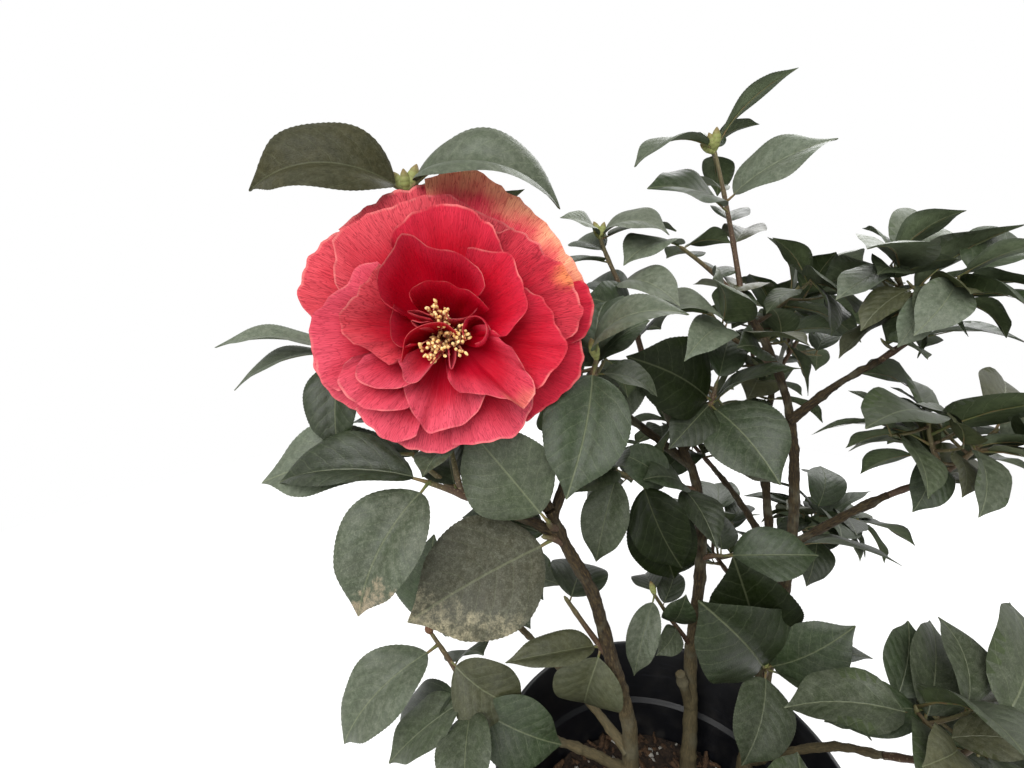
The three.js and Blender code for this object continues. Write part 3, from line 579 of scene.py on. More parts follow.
def crumb_look(name, dark, light, grain, rough=0.95):
    look = Look(name, Roughness=rough)
    where = look.place()
    fine = look.noise(where, grain, detail=5.0, roughness=0.65)
    _, own, _, _ = look.mark("crumb")
    tone = look.mix(fine.above(0.3, 0.7), dark, light)
    return look.set(
        Base_Color=look.mix(own * 0.45, tone, dark),
        Normal=look.bump(fine + look.noise(where, grain * 3.4), 0.9, 0.7),
    )


wear(soil, crumb_look("soil", paint(27, 20, 15), paint(66, 50, 37), 420))
LITTER_LOOKS = [
    crumb_look("bark_chip", paint(58, 40, 27), paint(122, 92, 64), 700, 0.85),
    crumb_look("soil_crumb", paint(30, 22, 16), paint(74, 57, 43), 900),
    crumb_look("perlite", paint(168, 163, 152), paint(226, 222, 213), 1500, 0.8),
]
litter.piece("soil_litter", "crumb", LITTER_LOOKS, "potting_soil")
dress(soil, "potting_soil", "potting_soil")

# %% [markdown]
# ## Stems and boughs
# A woody limb tapers, swells at its foot and at each fork, and has ridged bark. A Blender curve
# with a radius at each point gives the taper and the swelling. Turned into a mesh, it takes three
# displacements whose textures are stretched upwards: one for swellings, one for ridges and a fine
# one for scales. The curve runs through the same points as the frame's limb, by the same
# centripetal rule.

# %% A smooth path through points
def smooth_path(points, spacing):
    """Evenly spaced points on the curve through the given ones, and its length."""
    points = np.array(points, float)
    reached = np.vstack([2 * points[0] - points[1], points, 2 * points[-1] - points[-2]])
    share = np.linspace(0, 1, 40, endpoint=False)[:, None]
    dense = []
    for p0, p1, p2, p3 in zip(reached, reached[1:], reached[2:], reached[3:]):
        d0, d1, d2 = (math.sqrt(np.linalg.norm(b - a)) for a, b in ((p0, p1), (p1, p2), (p2, p3)))
        out = ((p1 - p0) / d0 - (p2 - p0) / (d0 + d1) + (p2 - p1) / d1) * d1
        into = ((p2 - p1) / d1 - (p3 - p1) / (d1 + d2) + (p3 - p2) / d2) * d1
        bend = 3 * (p2 - p1) - 2 * out - into
        close = 2 * (p1 - p2) + out + into
        dense.append(p1 + out * share + bend * share ** 2 + close * share ** 3)
    dense = np.vstack([*dense, points[-1:]])
    run = np.concatenate([[0], np.cumsum(np.linalg.norm(np.diff(dense, axis=0), axis=1))])
    want = np.linspace(0, run[-1], max(3, round(run[-1] / spacing) + 1))
    return np.stack([np.interp(want, run, dense[:, k]) for k in range(3)], 1), run[-1]

# %% [markdown]
# The limbs of one stem make one piece of wood, as on the plant: each limb starts inside the one
# that bears it. The second stem also has a stub where a limb was pruned.

# %% The limbs of each stem
# Each limb: its points, its radius at the root and at the tip, and the swelling at its foot
LIMBS = {
    "main_stem": ([(-14, 17, 112), (-17, 17, 150), (-22, 15, 210), (-37, 8, 267), (-52, 2, 319),
                   (-67, -2, 349), (-76, -5, 371)], 6.4, 3.3, 3.2),
    "second_stem": ([(34, 50, 112), (36, 60, 160), (33, 66, 221), (36, 72, 282), (29, 76, 345),
                     (17, 80, 374)], 6.2, 3.2, 3.0),
    "right_stem": ([(56, 20, 112), (60, 26, 150), (76, 46, 205), (98, 75, 310), (95, 95, 390),
                    (80, 102, 430), (63, 114, 462)], 6.4, 2.6, 3.0),
    "back_stem": ([(75, 44, 201), (84, 66, 236), (98, 100, 280), (104, 130, 320),
                   (102, 158, 370)], 4.8, 2.6, 1.2),
    "bloom_bough": ([(-76.4, -5, 371.6), (-90, 1, 396), (-107, 7, 424)], 2.9, 2.1, 0.3),
    "left_bough": ([(-71, -3, 356), (-90, -9, 369), (-112, -16, 382)], 2.5, 1.9, 0.8),
    "lower_left_bough": ([(-19, 16, 172), (-60, 9, 203), (-105, 6, 221), (-117, 8, 231)],
                         3.2, 2.2, 1.6),
    "inner_bough": ([(-74, -4, 366), (-66, 0, 392), (-58, 5, 430)], 2.5, 2.0, 0.8),
    "upper_left_bough": ([(16.6, 80, 374.6), (4, 83, 400), (-8, 85, 424)], 2.9, 2.1, 0.3),
    "centre_bough": ([(19, 80, 368), (28, 80, 384), (34, 81, 397)], 2.6, 2.1, 0.6),
    "back_left_bough": ([(25, 78, 358), (-18, 98, 388), (-58, 112, 408)], 3.0, 2.2, 0.9),
    "right_outer_bough": ([(95, 72, 300), (122, 62, 330), (140, 52, 350)], 3.0, 2.2, 1.2),
    "right_upper_bough": ([(95, 93, 385), (118, 82, 415), (132, 70, 432)], 2.8, 2.1, 1.0),
    "right_front_bough": ([(64, 31, 163), (96, 0, 212), (108, -22, 232)], 3.2, 2.2, 1.6),
    "back_upper_bough": ([(104, 143, 344), (120, 170, 370), (130, 186, 392)], 2.8, 2.1, 0.8),
    "back_middle_bough": ([(98, 100, 280), (90, 140, 300), (80, 172, 314)], 3.0, 2.2, 1.0),
    "back_outer_bough": ([(88, 76, 249), (118, 104, 256), (142, 122, 250)], 3.0, 2.2, 1.0),
    "back_low_bough": ([(80, 56, 221), (92, 110, 232), (90, 140, 230)], 3.0, 2.2, 1.0),
    "left_back_bough": ([(-21, 15, 190), (-60, 58, 212), (-92, 92, 222)], 3.0, 2.2, 1.4),
    "front_bough": ([(-15, 15, 141), (2, -40, 200), (8, -78, 217)], 3.0, 2.2, 1.6),
}
PRUNED_STUB = ([(35, 62, 176), (24, 58, 208)], 3.9, 3.4, 0.6)
WOOD = {
    "main_stem_wood": ["main_stem", "bloom_bough", "left_bough", "lower_left_bough", "inner_bough",
                       "left_back_bough", "front_bough"],
    "second_stem_wood": ["second_stem", "upper_left_bough", "centre_bough", "back_left_bough"],
    "right_stem_wood": ["right_stem", "right_outer_bough", "right_upper_bough",
                        "right_front_bough"],
    "back_stem_wood": ["back_stem", "back_upper_bough", "back_middle_bough", "back_outer_bough",
                       "back_low_bough"],
}
print("limbs:", len(LIMBS), "in", len(WOOD), "pieces of wood")

# %% [markdown]
# All the limbs of a stem are splines of one curve, so that one conversion makes one mesh. Each
# displacement has an empty as its ruler: scaled along Z, it draws the lumps out into ridges. Each
# point of the wood is marked with its place on its limb, which the bark's pattern reads.

# %% Wood from curves
LIMB_SPACING = 1.5
COLLAR_LENGTH = 15  # how far a limb's swelling reaches from its foot
MANY = 2000  # points measured at a time, to save memory
# Each relief: the size of its lumps in metres, its depth in millimetres and its stretch upwards
RELIEFS = ((0.009, 1.5, 1.6), (0.0032, 1.2, 5.0), (0.0014, 0.6, 2.5))


def limb_line(points, root, tip, swelling):
    """A limb's path, and its radius along it with slight knots."""
    path, length = smooth_path(points, LIMB_SPACING)
    run = np.linspace(0, length, len(path))
    radius = root + (tip - root) * run / length + swelling * np.exp(-run / COLLAR_LENGTH * 1.4)
    knots = rng.uniform(0, length, max(2, int(length / 32)))
    for knot in knots:
        radius = radius * 0.985 + rng.uniform(0.2, 0.8) * np.exp(-((run - knot) / 2.6) ** 2)
    return path, radius


def wood(name, limbs):
    curve = bpy.data.curves.new(name, "CURVE")
    curve.dimensions = "3D"
    curve.bevel_depth = MM
    curve.bevel_resolution = 11
    curve.use_fill_caps = True
    lines = [limb_line(*LIMBS[one]) for one in limbs]
    if name == "second_stem_wood":
        lines.append(limb_line(*PRUNED_STUB))
    for path, radius in lines:
        spline = curve.splines.new("POLY")
        spline.points.add(len(path) - 1)
        spline.points.foreach_set("co", np.column_stack([path * MM, np.ones(len(path))]).ravel())
        spline.points.foreach_set("radius", radius)
    piece = bpy.data.objects.new(name, curve)
    bpy.context.scene.collection.objects.link(piece)
    pick(piece)
    bpy.ops.object.convert(target="MESH")
    piece = bpy.context.object
    mark_bark(piece.data, lines)
    for size, depth, stretch in RELIEFS:
        ruler = bpy.data.objects.new("ruler", None)
        ruler.scale = (1, 1, stretch)
        bpy.context.scene.collection.objects.link(ruler)
        ridges = bpy.data.textures.new("ridges", "CLOUDS")
        ridges.noise_scale = size
        finish_with(piece, "DISPLACE", texture=ridges, strength=depth * MM, mid_level=0.5,
                    texture_coords="OBJECT", texture_coords_object=ruler)
        bpy.data.objects.remove(ruler)
    shade(piece, 60)
    dress(piece, "bark", *limbs)
    print(name, "has", len(piece.data.polygons), "faces")
    return piece


def mark_bark(mesh, lines):
    """Each point holds its turn round the limb, as a sine and cosine, and its run along it."""
    points = points_of(mesh)
    marks = np.zeros_like(points)
    nearest = np.full(len(points), 1e9)
    for path, _ in lines:
        for start in range(0, len(points), MANY):
            some = slice(start, start + MANY)
            gaps = np.linalg.norm(points[some, None] - path[None], axis=2)
            closest = gaps.argmin(1)
            gap = gaps.min(1)
            mine = gap < nearest[some]
            out = points[some] - path[closest]
            turn = np.arctan2(out[:, 1], out[:, 0])
            new = np.column_stack([np.cos(turn), np.sin(turn), closest * LIMB_SPACING])
            marks[some][mine] = new[mine]
            nearest[some][mine] = gap[mine]
    marks_at_points(mesh, "bark_place", marks)

# %% [markdown]
# Camellia bark is smooth and grey-brown when old, with lengthwise cracks, tan ridges and patches
# of grey film. Higher up, among the leaves, it is painted darker as the shade of the crown; at the
# foot it is paler and tanner, partly an olive-tan colour and partly painted light. The pattern
# reads each point's turn round the limb and its run along it, so cracks follow a limb whichever way
# it leans.

# %% Bark finish
bark = Look("bark", Specular_IOR_Level=0.3)
turned, *_ = bark.mark("bark_place")
along = bark.stretch(turned, (1.0, 1.0, 0.045))
cracks = bark.noise(along, 5.5, detail=6.0, roughness=0.62, distortion=0.4)
scales = bark.noise(bark.place(), 520, detail=4.0, roughness=0.6)
weather = bark.noise(bark.place(), 60, detail=3.0)
height = bark.node("SeparateXYZ", {}, [bark.place()], output="Z")
brown = bark.node("ValToRGB", {"stops": [
    (0.30, paint(24, 19, 13)), (0.46, paint(54, 43, 29)), (0.60, paint(86, 72, 49)),
    (0.78, paint(140, 126, 94)),
]}, [cracks * 0.75 + scales * 0.25])
# painted shade: darker above the foot, among the leaves that shade the stems
brown = bark.mix(height.above(0.24, 0.3), brown, paint(200, 196, 178), "MULTIPLY")
# paler and tanner at the foot: partly painted light, partly an olive-tan colour
brown = bark.mix((1.0 - height.above(0.18, 0.27)) * 0.4, brown, paint(118, 110, 80))
bark_look = bark.set(
    Base_Color=bark.mix(weather.above(0.5, 0.72) * 0.45, brown, paint(108, 106, 88)),
    Roughness=0.72 + scales * 0.2,
    Normal=bark.bump(cracks * 0.8 + scales * 0.4, 0.8, 0.8),
)
WOOD_PIECES = {name: wood(name, limbs) for name, limbs in WOOD.items()}
for piece in WOOD_PIECES.values():
    wear(piece, bark_look)

# %% [markdown]
# ## The bloom
# An open camellia is rings of broad petals round a tuft of stamens. Each petal leaves a narrow
# claw, bends outwards, and ends in a wide, wavy margin, often notched. A petal here is a closed
# sheet: a grid of points in front, the same grid a little behind, and one shared edge.

# %% A closed sheet
def sheet(grid, thickness):
    """Points and faces of a thin closed sheet from its front grid. The back half comes last."""
    rows, columns = grid.shape[0] - 1, grid.shape[1] - 1
    along, across = np.gradient(grid, axis=0), np.gradient(grid, axis=1)
    normal = np.cross(across, along)
    normal /= np.linalg.norm(normal, axis=2, keepdims=True) + 1e-12
    behind = (grid - normal * thickness)[1:-1, 1:-1]
    front = np.arange(grid.shape[0] * grid.shape[1]).reshape(grid.shape[:2])
    back = front.copy()
    back[1:-1, 1:-1] = front.size + np.arange((rows - 1) * (columns - 1)).reshape(rows - 1, -1)
    points = np.concatenate([grid.reshape(-1, 3), behind.reshape(-1, 3)])
    return points, np.concatenate([quads_of(front), quads_of(back)[:, ::-1]])


def doubled(marks):
    """A sheet's marks: those of the front grid, and again those of its inner points."""
    return np.concatenate([marks.reshape(-1, 3), marks[1:-1, 1:-1].reshape(-1, 3)])


def direction_of(heading, rise):
    h, r = math.radians(heading), math.radians(rise)
    return np.array([math.cos(r) * math.cos(h), math.cos(r) * math.sin(h), math.sin(r)])

# %% [markdown]
# The margin of a petal is given in the bloom's own directions: to the right, up and forward. The
# petal is a surface of cubic curves from the claw at the bloom's seat to the margin. Waves that
# grow towards the margin ruffle it.

# %% One petal
BLOOM_SEAT = np.array([-124.0, -9.0, 461.0])
BLOOM_AXIS = direction_of(278, 22)
BLOOM_UP = square_to(BLOOM_AXIS, UP)
BLOOM_RIGHT = np.cross(BLOOM_UP, BLOOM_AXIS)
PETAL_THICKNESS = 0.5
CLAW_RADIUS, CLAW_HALF_WIDTH = 2.5, 4.0
CRIMSON, ROSE, SALMON, EDGED_AND_LIT, BLEMISHED, DEEP_SHADED, SCORCHED = range(7)


def in_bloom(right, up, forward):
    """A place given in the bloom's own directions, from its seat."""
    spread = np.multiply.outer(right, BLOOM_RIGHT) + np.multiply.outer(up, BLOOM_UP)
    return BLOOM_SEAT + spread + np.multiply.outer(forward, BLOOM_AXIS)


def petal(look, start, end, margin, ruffle=0.7, rows=24, columns=30):
    """One petal from the points of its margin. It leaves the claw at one angle from the bloom's
    axis and reaches the margin at another."""
    path, length = smooth_path([in_bloom(*one) for one in margin], 0.5)
    steps = np.linspace(0, len(path) - 1, columns + 1)
    rim = np.stack([np.interp(steps, np.arange(len(path)), path[:, k]) for k in range(3)], 1)
    sideways = np.linspace(-1, 1, columns + 1)
    out = square_to(BLOOM_AXIS, rim.mean(0) - BLOOM_SEAT)
    across = np.cross(BLOOM_AXIS, out)
    if (rim[-1] - rim[0]) @ across < 0:
        across = -across
    claw_width = min(CLAW_HALF_WIDTH, length * 0.06)
    claw = BLOOM_SEAT + out * CLAW_RADIUS + np.outer(sideways * claw_width, across)
    # a cubic curve from each point of the claw to its point of the margin
    span = rim - claw
    reach = np.linalg.norm(span, axis=1, keepdims=True)
    level = span - (span @ BLOOM_AXIS)[:, None] * BLOOM_AXIS
    level /= np.linalg.norm(level, axis=1, keepdims=True)
    first, last = (math.cos(math.radians(a)) * BLOOM_AXIS + math.sin(math.radians(a)) * level
                   for a in (start, end))
    share = np.linspace(0, 1, rows + 1)[:, None] ** 0.92
    s = share[..., None]
    grid = ((1 - s) ** 3 * claw + 3 * (1 - s) ** 2 * s * (claw + first * reach * 0.38)
            + 3 * (1 - s) * s ** 2 * (rim - last * reach * 0.33) + s ** 3 * rim)
    # ruffles, billows and fine flutes, which grow towards the margin
    phase = rng.uniform(0, 2 * math.pi, 4)
    curl = (np.sin(sideways * length * 0.16 + phase[0])
            + 0.7 * np.sin(sideways * length * 0.41 + phase[1]))
    billow = 1.5 * np.sin(share * 5 + phase[2]) * np.cos(sideways * 3.4 + phase[3]) * share
    flutes = (0.16 * np.sin(sideways * length * 0.8 + phase[3])
              + 0.12 * np.sin(sideways * length * 1.3 + phase[0])) * share
    notch = 0.010 * np.sin(sideways * length * 0.3 + phase[2]) * np.sin(sideways * 4 + phase[1])
    lift = (curl * ruffle * share ** 3 + billow + flutes) * min(1.0, length / 60)
    grid = grid + lift[..., None] * BLOOM_AXIS + (notch * share ** 6)[..., None] * span
    # the front of the sheet has to face out of the bloom
    front = np.cross(np.gradient(grid, axis=1), np.gradient(grid, axis=0)).mean((0, 1))
    if front @ BLOOM_AXIS < 0:
        grid, sideways = grid[:, ::-1], sideways[::-1]
    points, faces = sheet(grid, PETAL_THICKNESS)
    marks = marks_of(sideways * length / 20, share, rng.uniform())
    return points, faces, doubled(marks), look

# %% [markdown]
# The petals are listed as the eye meets them, from the outer ring to the small curled ones at the
# heart. Inner petals stand further forward, so that each ring lies clear of the next.

# %% All the petals
# Each petal: its finish, its two angles, its margin and, where it isn't the usual, its ruffle
PETALS = [
    (SALMON, 62, 84, [(-46.5, 48, 5), (-37, 55.5, 6), (-23.5, 64, 7), (-12.5, 67.5, 7),
     (-1, 71.5, 6), (8, 74, 5)]),
    (EDGED_AND_LIT, 54, 78, [(-8, 70, 9), (-1, 72.5, 10), (6, 75.5, 11), (13, 73.5, 12), (22, 67.5, 13),
     (31, 61, 13), (40, 53.5, 13), (48, 45.5, 12), (55, 36, 10), (60.5, 29, 7), (64.5, 23.5, 4)]),
    (SALMON, 64, 96, [(-58, 8, 4), (-61, 11.5, 4), (-64, 16, 4), (-63, 22.5, 5), (-61, 29, 6),
     (-59, 34.5, 6), (-55, 39.5, 6), (-50, 44, 6), (-46, 46.5, 6)]),
    (ROSE, 66, 98, [(-58, -7, 4), (-56.5, -16.5, 4), (-51.5, -24, 4), (-47, -29, 4),
     (-43, -31.5, 4), (-38, -33, 5), (-33.5, -32, 6)]),
    (CRIMSON, 64, 96, [(53.5, 38.5, 4), (60, 30, 4), (64.5, 21.5, 5), (67, 15, 5), (67, 8.5, 5),
     (65.5, 2, 5), (61.5, -3.5, 5), (55, -7, 6)]),
    (CRIMSON, 66, 98, [(60.5, -1.5, 4), (61, -8, 3), (61, -14.5, 3), (59.5, -20.5, 3),
     (54.5, -26.5, 3), (49, -30.5, 4), (43.5, -34.5, 4), (37.5, -38, 5), (32.5, -41, 6)]),
    (ROSE, 66, 96, [(-25.5, -45, 4), (-21, -49, 4), (-16, -51, 4), (-9.5, -52.5, 4), (-4, -52.5, 4),
     (0, -51.5, 4), (4.5, -49, 5)]),
    (ROSE, 58, 90, [(-39.5, -32, 9), (-37, -37.5, 9), (-33, -41.5, 9), (-29, -45, 9), (-24, -47, 9),
     (-19.5, -47, 10), (-15, -45, 11)]),
    (ROSE, 56, 90, [(0, -49, 10), (4, -50, 10), (11.5, -49.5, 11), (20, -48.5, 11),
     (25.5, -47.5, 11), (29.5, -44.5, 11), (32.5, -39.5, 12), (34.5, -34.5, 13), (36, -29.5, 13)]),
    (SALMON, 54, 88, [(-45, 17, 12), (-47, 21.5, 13), (-47, 28, 14), (-46.5, 35, 14),
     (-47.5, 38.5, 14), (-45.5, 42.5, 14), (-39, 46.5, 15), (-29.5, 51.5, 15), (-18.5, 55.5, 15),
     (-10, 59, 14), (-1.5, 60.5, 14), (4.5, 59, 14), (10.5, 55.5, 14), (17.5, 51.5, 14),
     (25.5, 48, 13), (33.5, 45.5, 12)]),
    (ROSE, 54, 84, [(-28.5, 28.5, 18), (-35.5, 27, 18), (-39, 24, 17), (-41.5, 19, 16),
     (-46.5, 15.5, 15), (-52, 10.5, 14), (-56, 6, 13), (-57, 0.5, 13), (-56.5, -5.5, 13),
     (-55.5, -12, 13), (-54, -17.5, 12), (-51, -22, 12), (-46, -25, 12)]),
    (BLEMISHED, 54, 84, [(22, 40.5, 18), (28, 43, 17), (33.5, 43.5, 16), (37.5, 39, 16),
     (42, 35, 16), (46, 30.5, 16), (51, 28.5, 15), (53.5, 23.5, 15), (56, 18.5, 15), (58.5, 13, 14),
     (59, 7, 14), (58, 1, 14), (55.5, -3.5, 14), (50, -7, 15)], 1.4),
    (ROSE, 48, 78, [(-39.5, -12, 17), (-43.5, -15.5, 17), (-45, -20, 17), (-44, -25, 17),
     (-40.5, -29.5, 16), (-35.5, -32.5, 16), (-29, -34.5, 16), (-22.5, -34.5, 16),
     (-17.5, -33.5, 17)], 1.5),
    (CRIMSON, 46, 74, [(32.5, 16.5, 20), (39, 12.5, 19), (43.5, 7.5, 19), (45.5, 3, 19),
     (47, -1.5, 19), (48.5, -6.5, 19), (50, -11.5, 18), (48, -16.5, 18), (43, -20.5, 18),
     (40, -25, 18), (36.5, -28, 18), (33.5, -26, 19)], 1.8),
    (CRIMSON, 46, 70, [(-22.5, 33.5, 21), (-21.5, 40, 22), (-17.5, 44, 23), (-13, 47, 23),
     (-8, 49.5, 23), (-1, 51.5, 23), (6, 51, 23), (11.5, 49, 23), (16.5, 45.5, 22),
     (20.5, 41.5, 22), (22.5, 37, 21), (25, 32, 20)]),
    (ROSE, 46, 76, [(-20, -23.5, 17), (-18, -30.5, 17), (-16, -35.5, 17), (-12.5, -41, 16),
     (-9, -44.5, 15), (-4.5, -43.5, 16), (1, -42.5, 17), (7, -40, 17), (11, -36, 18),
     (14, -30, 19)], 1.3),
    (ROSE, 42, 70, [(-34.5, -12, 20), (-37, -16, 20), (-38, -20, 20), (-36, -22.5, 20),
     (-32, -25, 20), (-26, -26, 20), (-20, -25.5, 20), (-15.5, -24, 21)]),
    (SALMON, 42, 66, [(-27, 25, 23), (-32, 18, 24), (-35.5, 14.5, 25), (-36, 11.5, 25),
     (-39, 7.5, 25), (-42, 5, 25), (-43.5, 1.5, 24), (-42.5, -2.5, 24), (-40, -5.5, 24),
     (-37.5, -8.5, 25), (-34.5, -9, 25), (-31, -11, 25), (-27, -14.5, 24), (-23.5, -17.5, 24),
     (-21, -15, 25)], 2.0),
    (CRIMSON, 38, 52, [(9, 31, 27), (15, 30.5, 27), (21, 29.5, 27), (26.5, 28, 27),
     (28.5, 23.5, 27), (29.5, 19, 27), (31.5, 14, 26), (32, 9, 26), (32.5, 4.5, 26), (29, 0, 26),
     (25, -4.5, 26), (22, -7, 27), (18, -4, 27)]),
    (SCORCHED, 36, 60, [(16, -2, 28), (21, -8, 27), (26, -13, 27), (29.5, -18.5, 26),
     (32.5, -23, 25), (34, -28, 24), (32.5, -33, 24), (29, -36.5, 25), (24.5, -33.5, 26),
     (19.5, -32.5, 26), (14, -30.5, 26), (7.5, -29.5, 25), (2.5, -28.5, 25), (-0.5, -25, 25),
     (-1.5, -20, 25)], 1.8),
    (CRIMSON, 44, 26, [(-20, 4, 27), (-25, 7.5, 28), (-27, 11.5, 29), (-27.5, 16, 30),
     (-26, 20.5, 31), (-22.5, 25.5, 32), (-19.5, 31, 33), (-16.5, 35, 33), (-11.5, 32.5, 33),
     (-7, 29.5, 33), (1.5, 27.5, 32), (7, 25.5, 31), (11.5, 22, 30), (14.5, 18, 29), (15, 13, 28),
     (11.5, 9, 27)]),
    (CRIMSON, 28, 24, [(-21.5, 7.5, 26), (-23, 2, 26), (-23, -4, 26), (-22, -8, 26), (-19, -10, 26),
     (-15.5, -9, 27)]),
    (DEEP_SHADED, 30, 8, [(-14, 7.5, 28), (-15, 10.5, 30), (-13, 13, 31), (-9, 15, 32), (-3.5, 15.5, 32),
     (1, 14, 32), (5, 11.5, 32), (9, 11, 31), (13, 7.5, 30), (16.5, 4, 28)]),
    (DEEP_SHADED, 26, 4, [(-19, -16.5, 27), (-18, -11.5, 28), (-17.5, -8, 29), (-15, -4.5, 30),
     (-11, -2.5, 30), (-6, -1.5, 30), (-1, -2, 29), (3, -5, 27)]),
    (ROSE, 26, 44, [(-20.5, -15, 27), (-19, -19, 27), (-18.5, -23, 27), (-16.5, -25, 27),
     (-13.5, -24.5, 27), (-10.5, -21.5, 27), (-6.5, -16.5, 27)]),
    (CRIMSON, 12, -30, [(6, -6.5, 26), (5.5, -2.5, 27), (7, 0.5, 28), (10.5, 1.5, 28),
     (14, -0.5, 28), (15, -4, 28), (13.5, -8, 27), (10, -9.5, 26)]),
    (SALMON, 22, 30, [(-7.5, 2.5, 26), (-12.5, 4.5, 27), (-16.5, 4.5, 27), (-13, 3, 26),
     (-7, 1.5, 25)]),
    (SALMON, 22, 30, [(-8, 0, 26), (-12, -0.5, 27), (-15, 0.5, 27), (-12.5, -2.5, 27),
     (-8.5, -1.5, 25)]),
    (ROSE, 20, 20, [(-1, 4, 26), (0, 1, 27), (4, 1, 27), (8.5, 2, 27), (12, 5.5, 26)]),
    (ROSE, 20, 20, [(0, -11, 22), (0, -16.5, 24), (0.5, -19.5, 25), (2, -16, 24), (2.5, -11, 22)]),
]
blossom = Heap()
for one in PETALS:
    blossom.add(*petal(*one))
print("petals:", len(PETALS))

# %% [markdown]
# Petals are crimson, painted darker towards the claw as the shade deep in the cup, with a net of
# fine veins that runs out to the margin, a paler band there and a thin pale rim. Old outer petals
# fade to salmon and peach at the margin, and their veins stay red. The pattern reads the petal's
# own
# place: sideways, along it, and a number of its own, which shifts the net so that no two petals
# match.

# %% Petal finish
def petal_look(name, base, margin, vein, margin_from, vein_strength, patch=None):
    base, margin, vein = paint(*base), paint(*margin), paint(*vein)
    look = Look(name, Specular_IOR_Level=0.1)
    place, side, along, own = look.mark("petal_place")
    where = look.place()
    blotch = look.noise(where, 90, detail=4.0)
    wavy = look.node("VectorMath", {"operation": "ADD"}, [
        look.stretch(place, (13.0, 8.0, 17.0)),
        look.node("TexNoise", None, {"Vector": where, "Scale": 160.0}, output=1)])
    net = look.node("TexVoronoi", {"feature": "DISTANCE_TO_EDGE"}, {"Vector": wavy, "Scale": 1.0})
    fine = look.noise(look.stretch(place, (26.0, 1.4, 11.0)), 1.0, detail=4.0, roughness=0.6)
    rays = look.noise(look.stretch(place, (9.0, 0.9, 7.0)), 1.0, detail=3.0, roughness=0.7)
    rays = 1.0 - abs((rays * 5.0).maths("FRACT") - 0.5).above(0.0, 0.16)
    veins = (1.0 - net.above(0.0, 0.09)) * along.above(0.4, 0.8) * 0.85
    veins = veins + rays * along.above(0.2, 0.7) * 0.45
    edge = (along + (blotch - 0.5) * 0.30 + (own - 0.5) * 0.06).above(margin_from, 1.06)
    # painted shade: each petal is darker towards its claw, deep in the cup where shade falls
    deep = tuple(c * 0.62 for c in base[:3]) + (1.0,)
    tone = look.mix(along.above(0.0, 0.5), deep, base)
    tone = look.mix(edge, tone, margin)
    tone = look.mix(fine.above(0.5, 0.74) * 0.24, tone, margin)
    if patch:
        spot = 1.0 - abs(side - 0.3 + (blotch - 0.5) * 2.4).above(0.2, 1.0)
        tone = look.mix(spot * along.above(0.82, 0.98) * 0.65, tone, paint(*patch))
    tone = look.mix(veins * vein_strength, tone, vein)
    rim = along.above(0.974, 0.992) * (blotch.above(0.38, 0.64) * 0.42 + 0.05)
    tone = look.mix(rim, tone, PALE_RIM)
    return look.set(
        Base_Color=tone,
        Roughness=0.36 + blotch * 0.2,
        Normal=look.bump(fine * 0.8 - veins * 0.3 + look.noise(where, 700) * 0.3, 0.6, 0.6),
    )


PALE_RIM = paint(236, 146, 138)
# Each finish: its base, margin and vein, where the margin starts, how strong the veins are and,
# for two of them, the colour of a faded patch
PETAL_FINISHES = {
    "crimson": ((182, 3, 30), (196, 40, 62), (108, 2, 20), 0.62, 0.42),
    "rose": ((180, 8, 36), (212, 80, 98), (112, 6, 28), 0.54, 0.5),
    "salmon": ((178, 12, 36), (206, 74, 84), (110, 8, 26), 0.54, 0.62),
    # the edged petals at the back lie in the shade of a leaf and of the front petals: their bright
    # base and margin are their own peach band and partly painted light
    "edged": ((236, 66, 88), (255, 192, 146), (176, 30, 40), 0.78, 0.6),
    "blemished": ((172, 6, 34), (196, 56, 70), (106, 4, 22), 0.6, 0.65, (244, 156, 92)),
    # the deep finish of the petals at the heart is a darker crimson: painted shade of the cup
    "deep": ((172, 2, 28), (192, 22, 46), (98, 2, 16), 0.8, 0.3),
    "scorched": ((180, 8, 36), (202, 66, 84), (112, 6, 28), 0.54, 0.5, (204, 118, 98)),
}
PETAL_LOOKS = [petal_look("petal_" + name, *finish) for name, finish in PETAL_FINISHES.items()]
petals = blossom.piece("petals", "petal_place", PETAL_LOOKS, "petal", "bloom")

# %% [markdown]
# The stamens are a crown of thread-like filaments with mealy yellow anthers. Threads are thin
# rods that lean out from the seat and bend a little, and each anther is a short, fat rod. Behind
# the petals the calyx is a cup of seven overlapping sepals, each a closed sheet.

# %% Stamens and calyx
FILAMENT, ANTHER, CALYX = range(3)
SEPALS = 7
# Each tuft: how many stamens, the middle and half-size of its anthers (right and up), their depth
TUFTS = [(60, (-1, -3), (8, 9), 12, 17), (22, (-4, 5.5), (4.8, 3.4), 20, 27),
         (34, (-6, -11), (6.0, 5.0), 20, 27), (24, (5, -8), (3.5, 7.0), 20, 26),
         (16, (0, -1), (4, 4), 18, 24)]
heart = Heap()
for count, middle, half, nearest, farthest in TUFTS:
    for _ in range(count):
        turn, far = rng.uniform(0, 2 * math.pi), math.sqrt(rng.uniform())
        right, up = np.array(middle) + np.array(half) * far * (math.cos(turn), math.sin(turn))
        end = in_bloom(right, up, rng.uniform(nearest, farthest))
        root = in_bloom(right * 0.28, up * 0.28, 1.5)
        share = np.linspace(0, 1, 7)[:, None]
        bend = random_turn() * 1.6 + unit(end - in_bloom(0, 0, 20)) * 1.2
        path = root + (end - root) * share + bend * np.sin(math.pi * share)
        points, faces = rod(path, np.linspace(0.42, 0.24, 7), 4)
        heart.add(points, faces, [0.5, 0.5, 0.1], FILAMENT)
        tilt = unit(path[-1] - path[-2] + random_turn() * 1.6)
        path = path[-1] + np.outer(np.linspace(-0.4, 1.0, 5), tilt * rng.uniform(1.3, 2.1))
        points, faces = rod(path, np.array([0.3, 0.66, 0.74, 0.6, 0.25]), 6)
        heart.add(points, faces, [rng.uniform(), 0, 0], ANTHER)
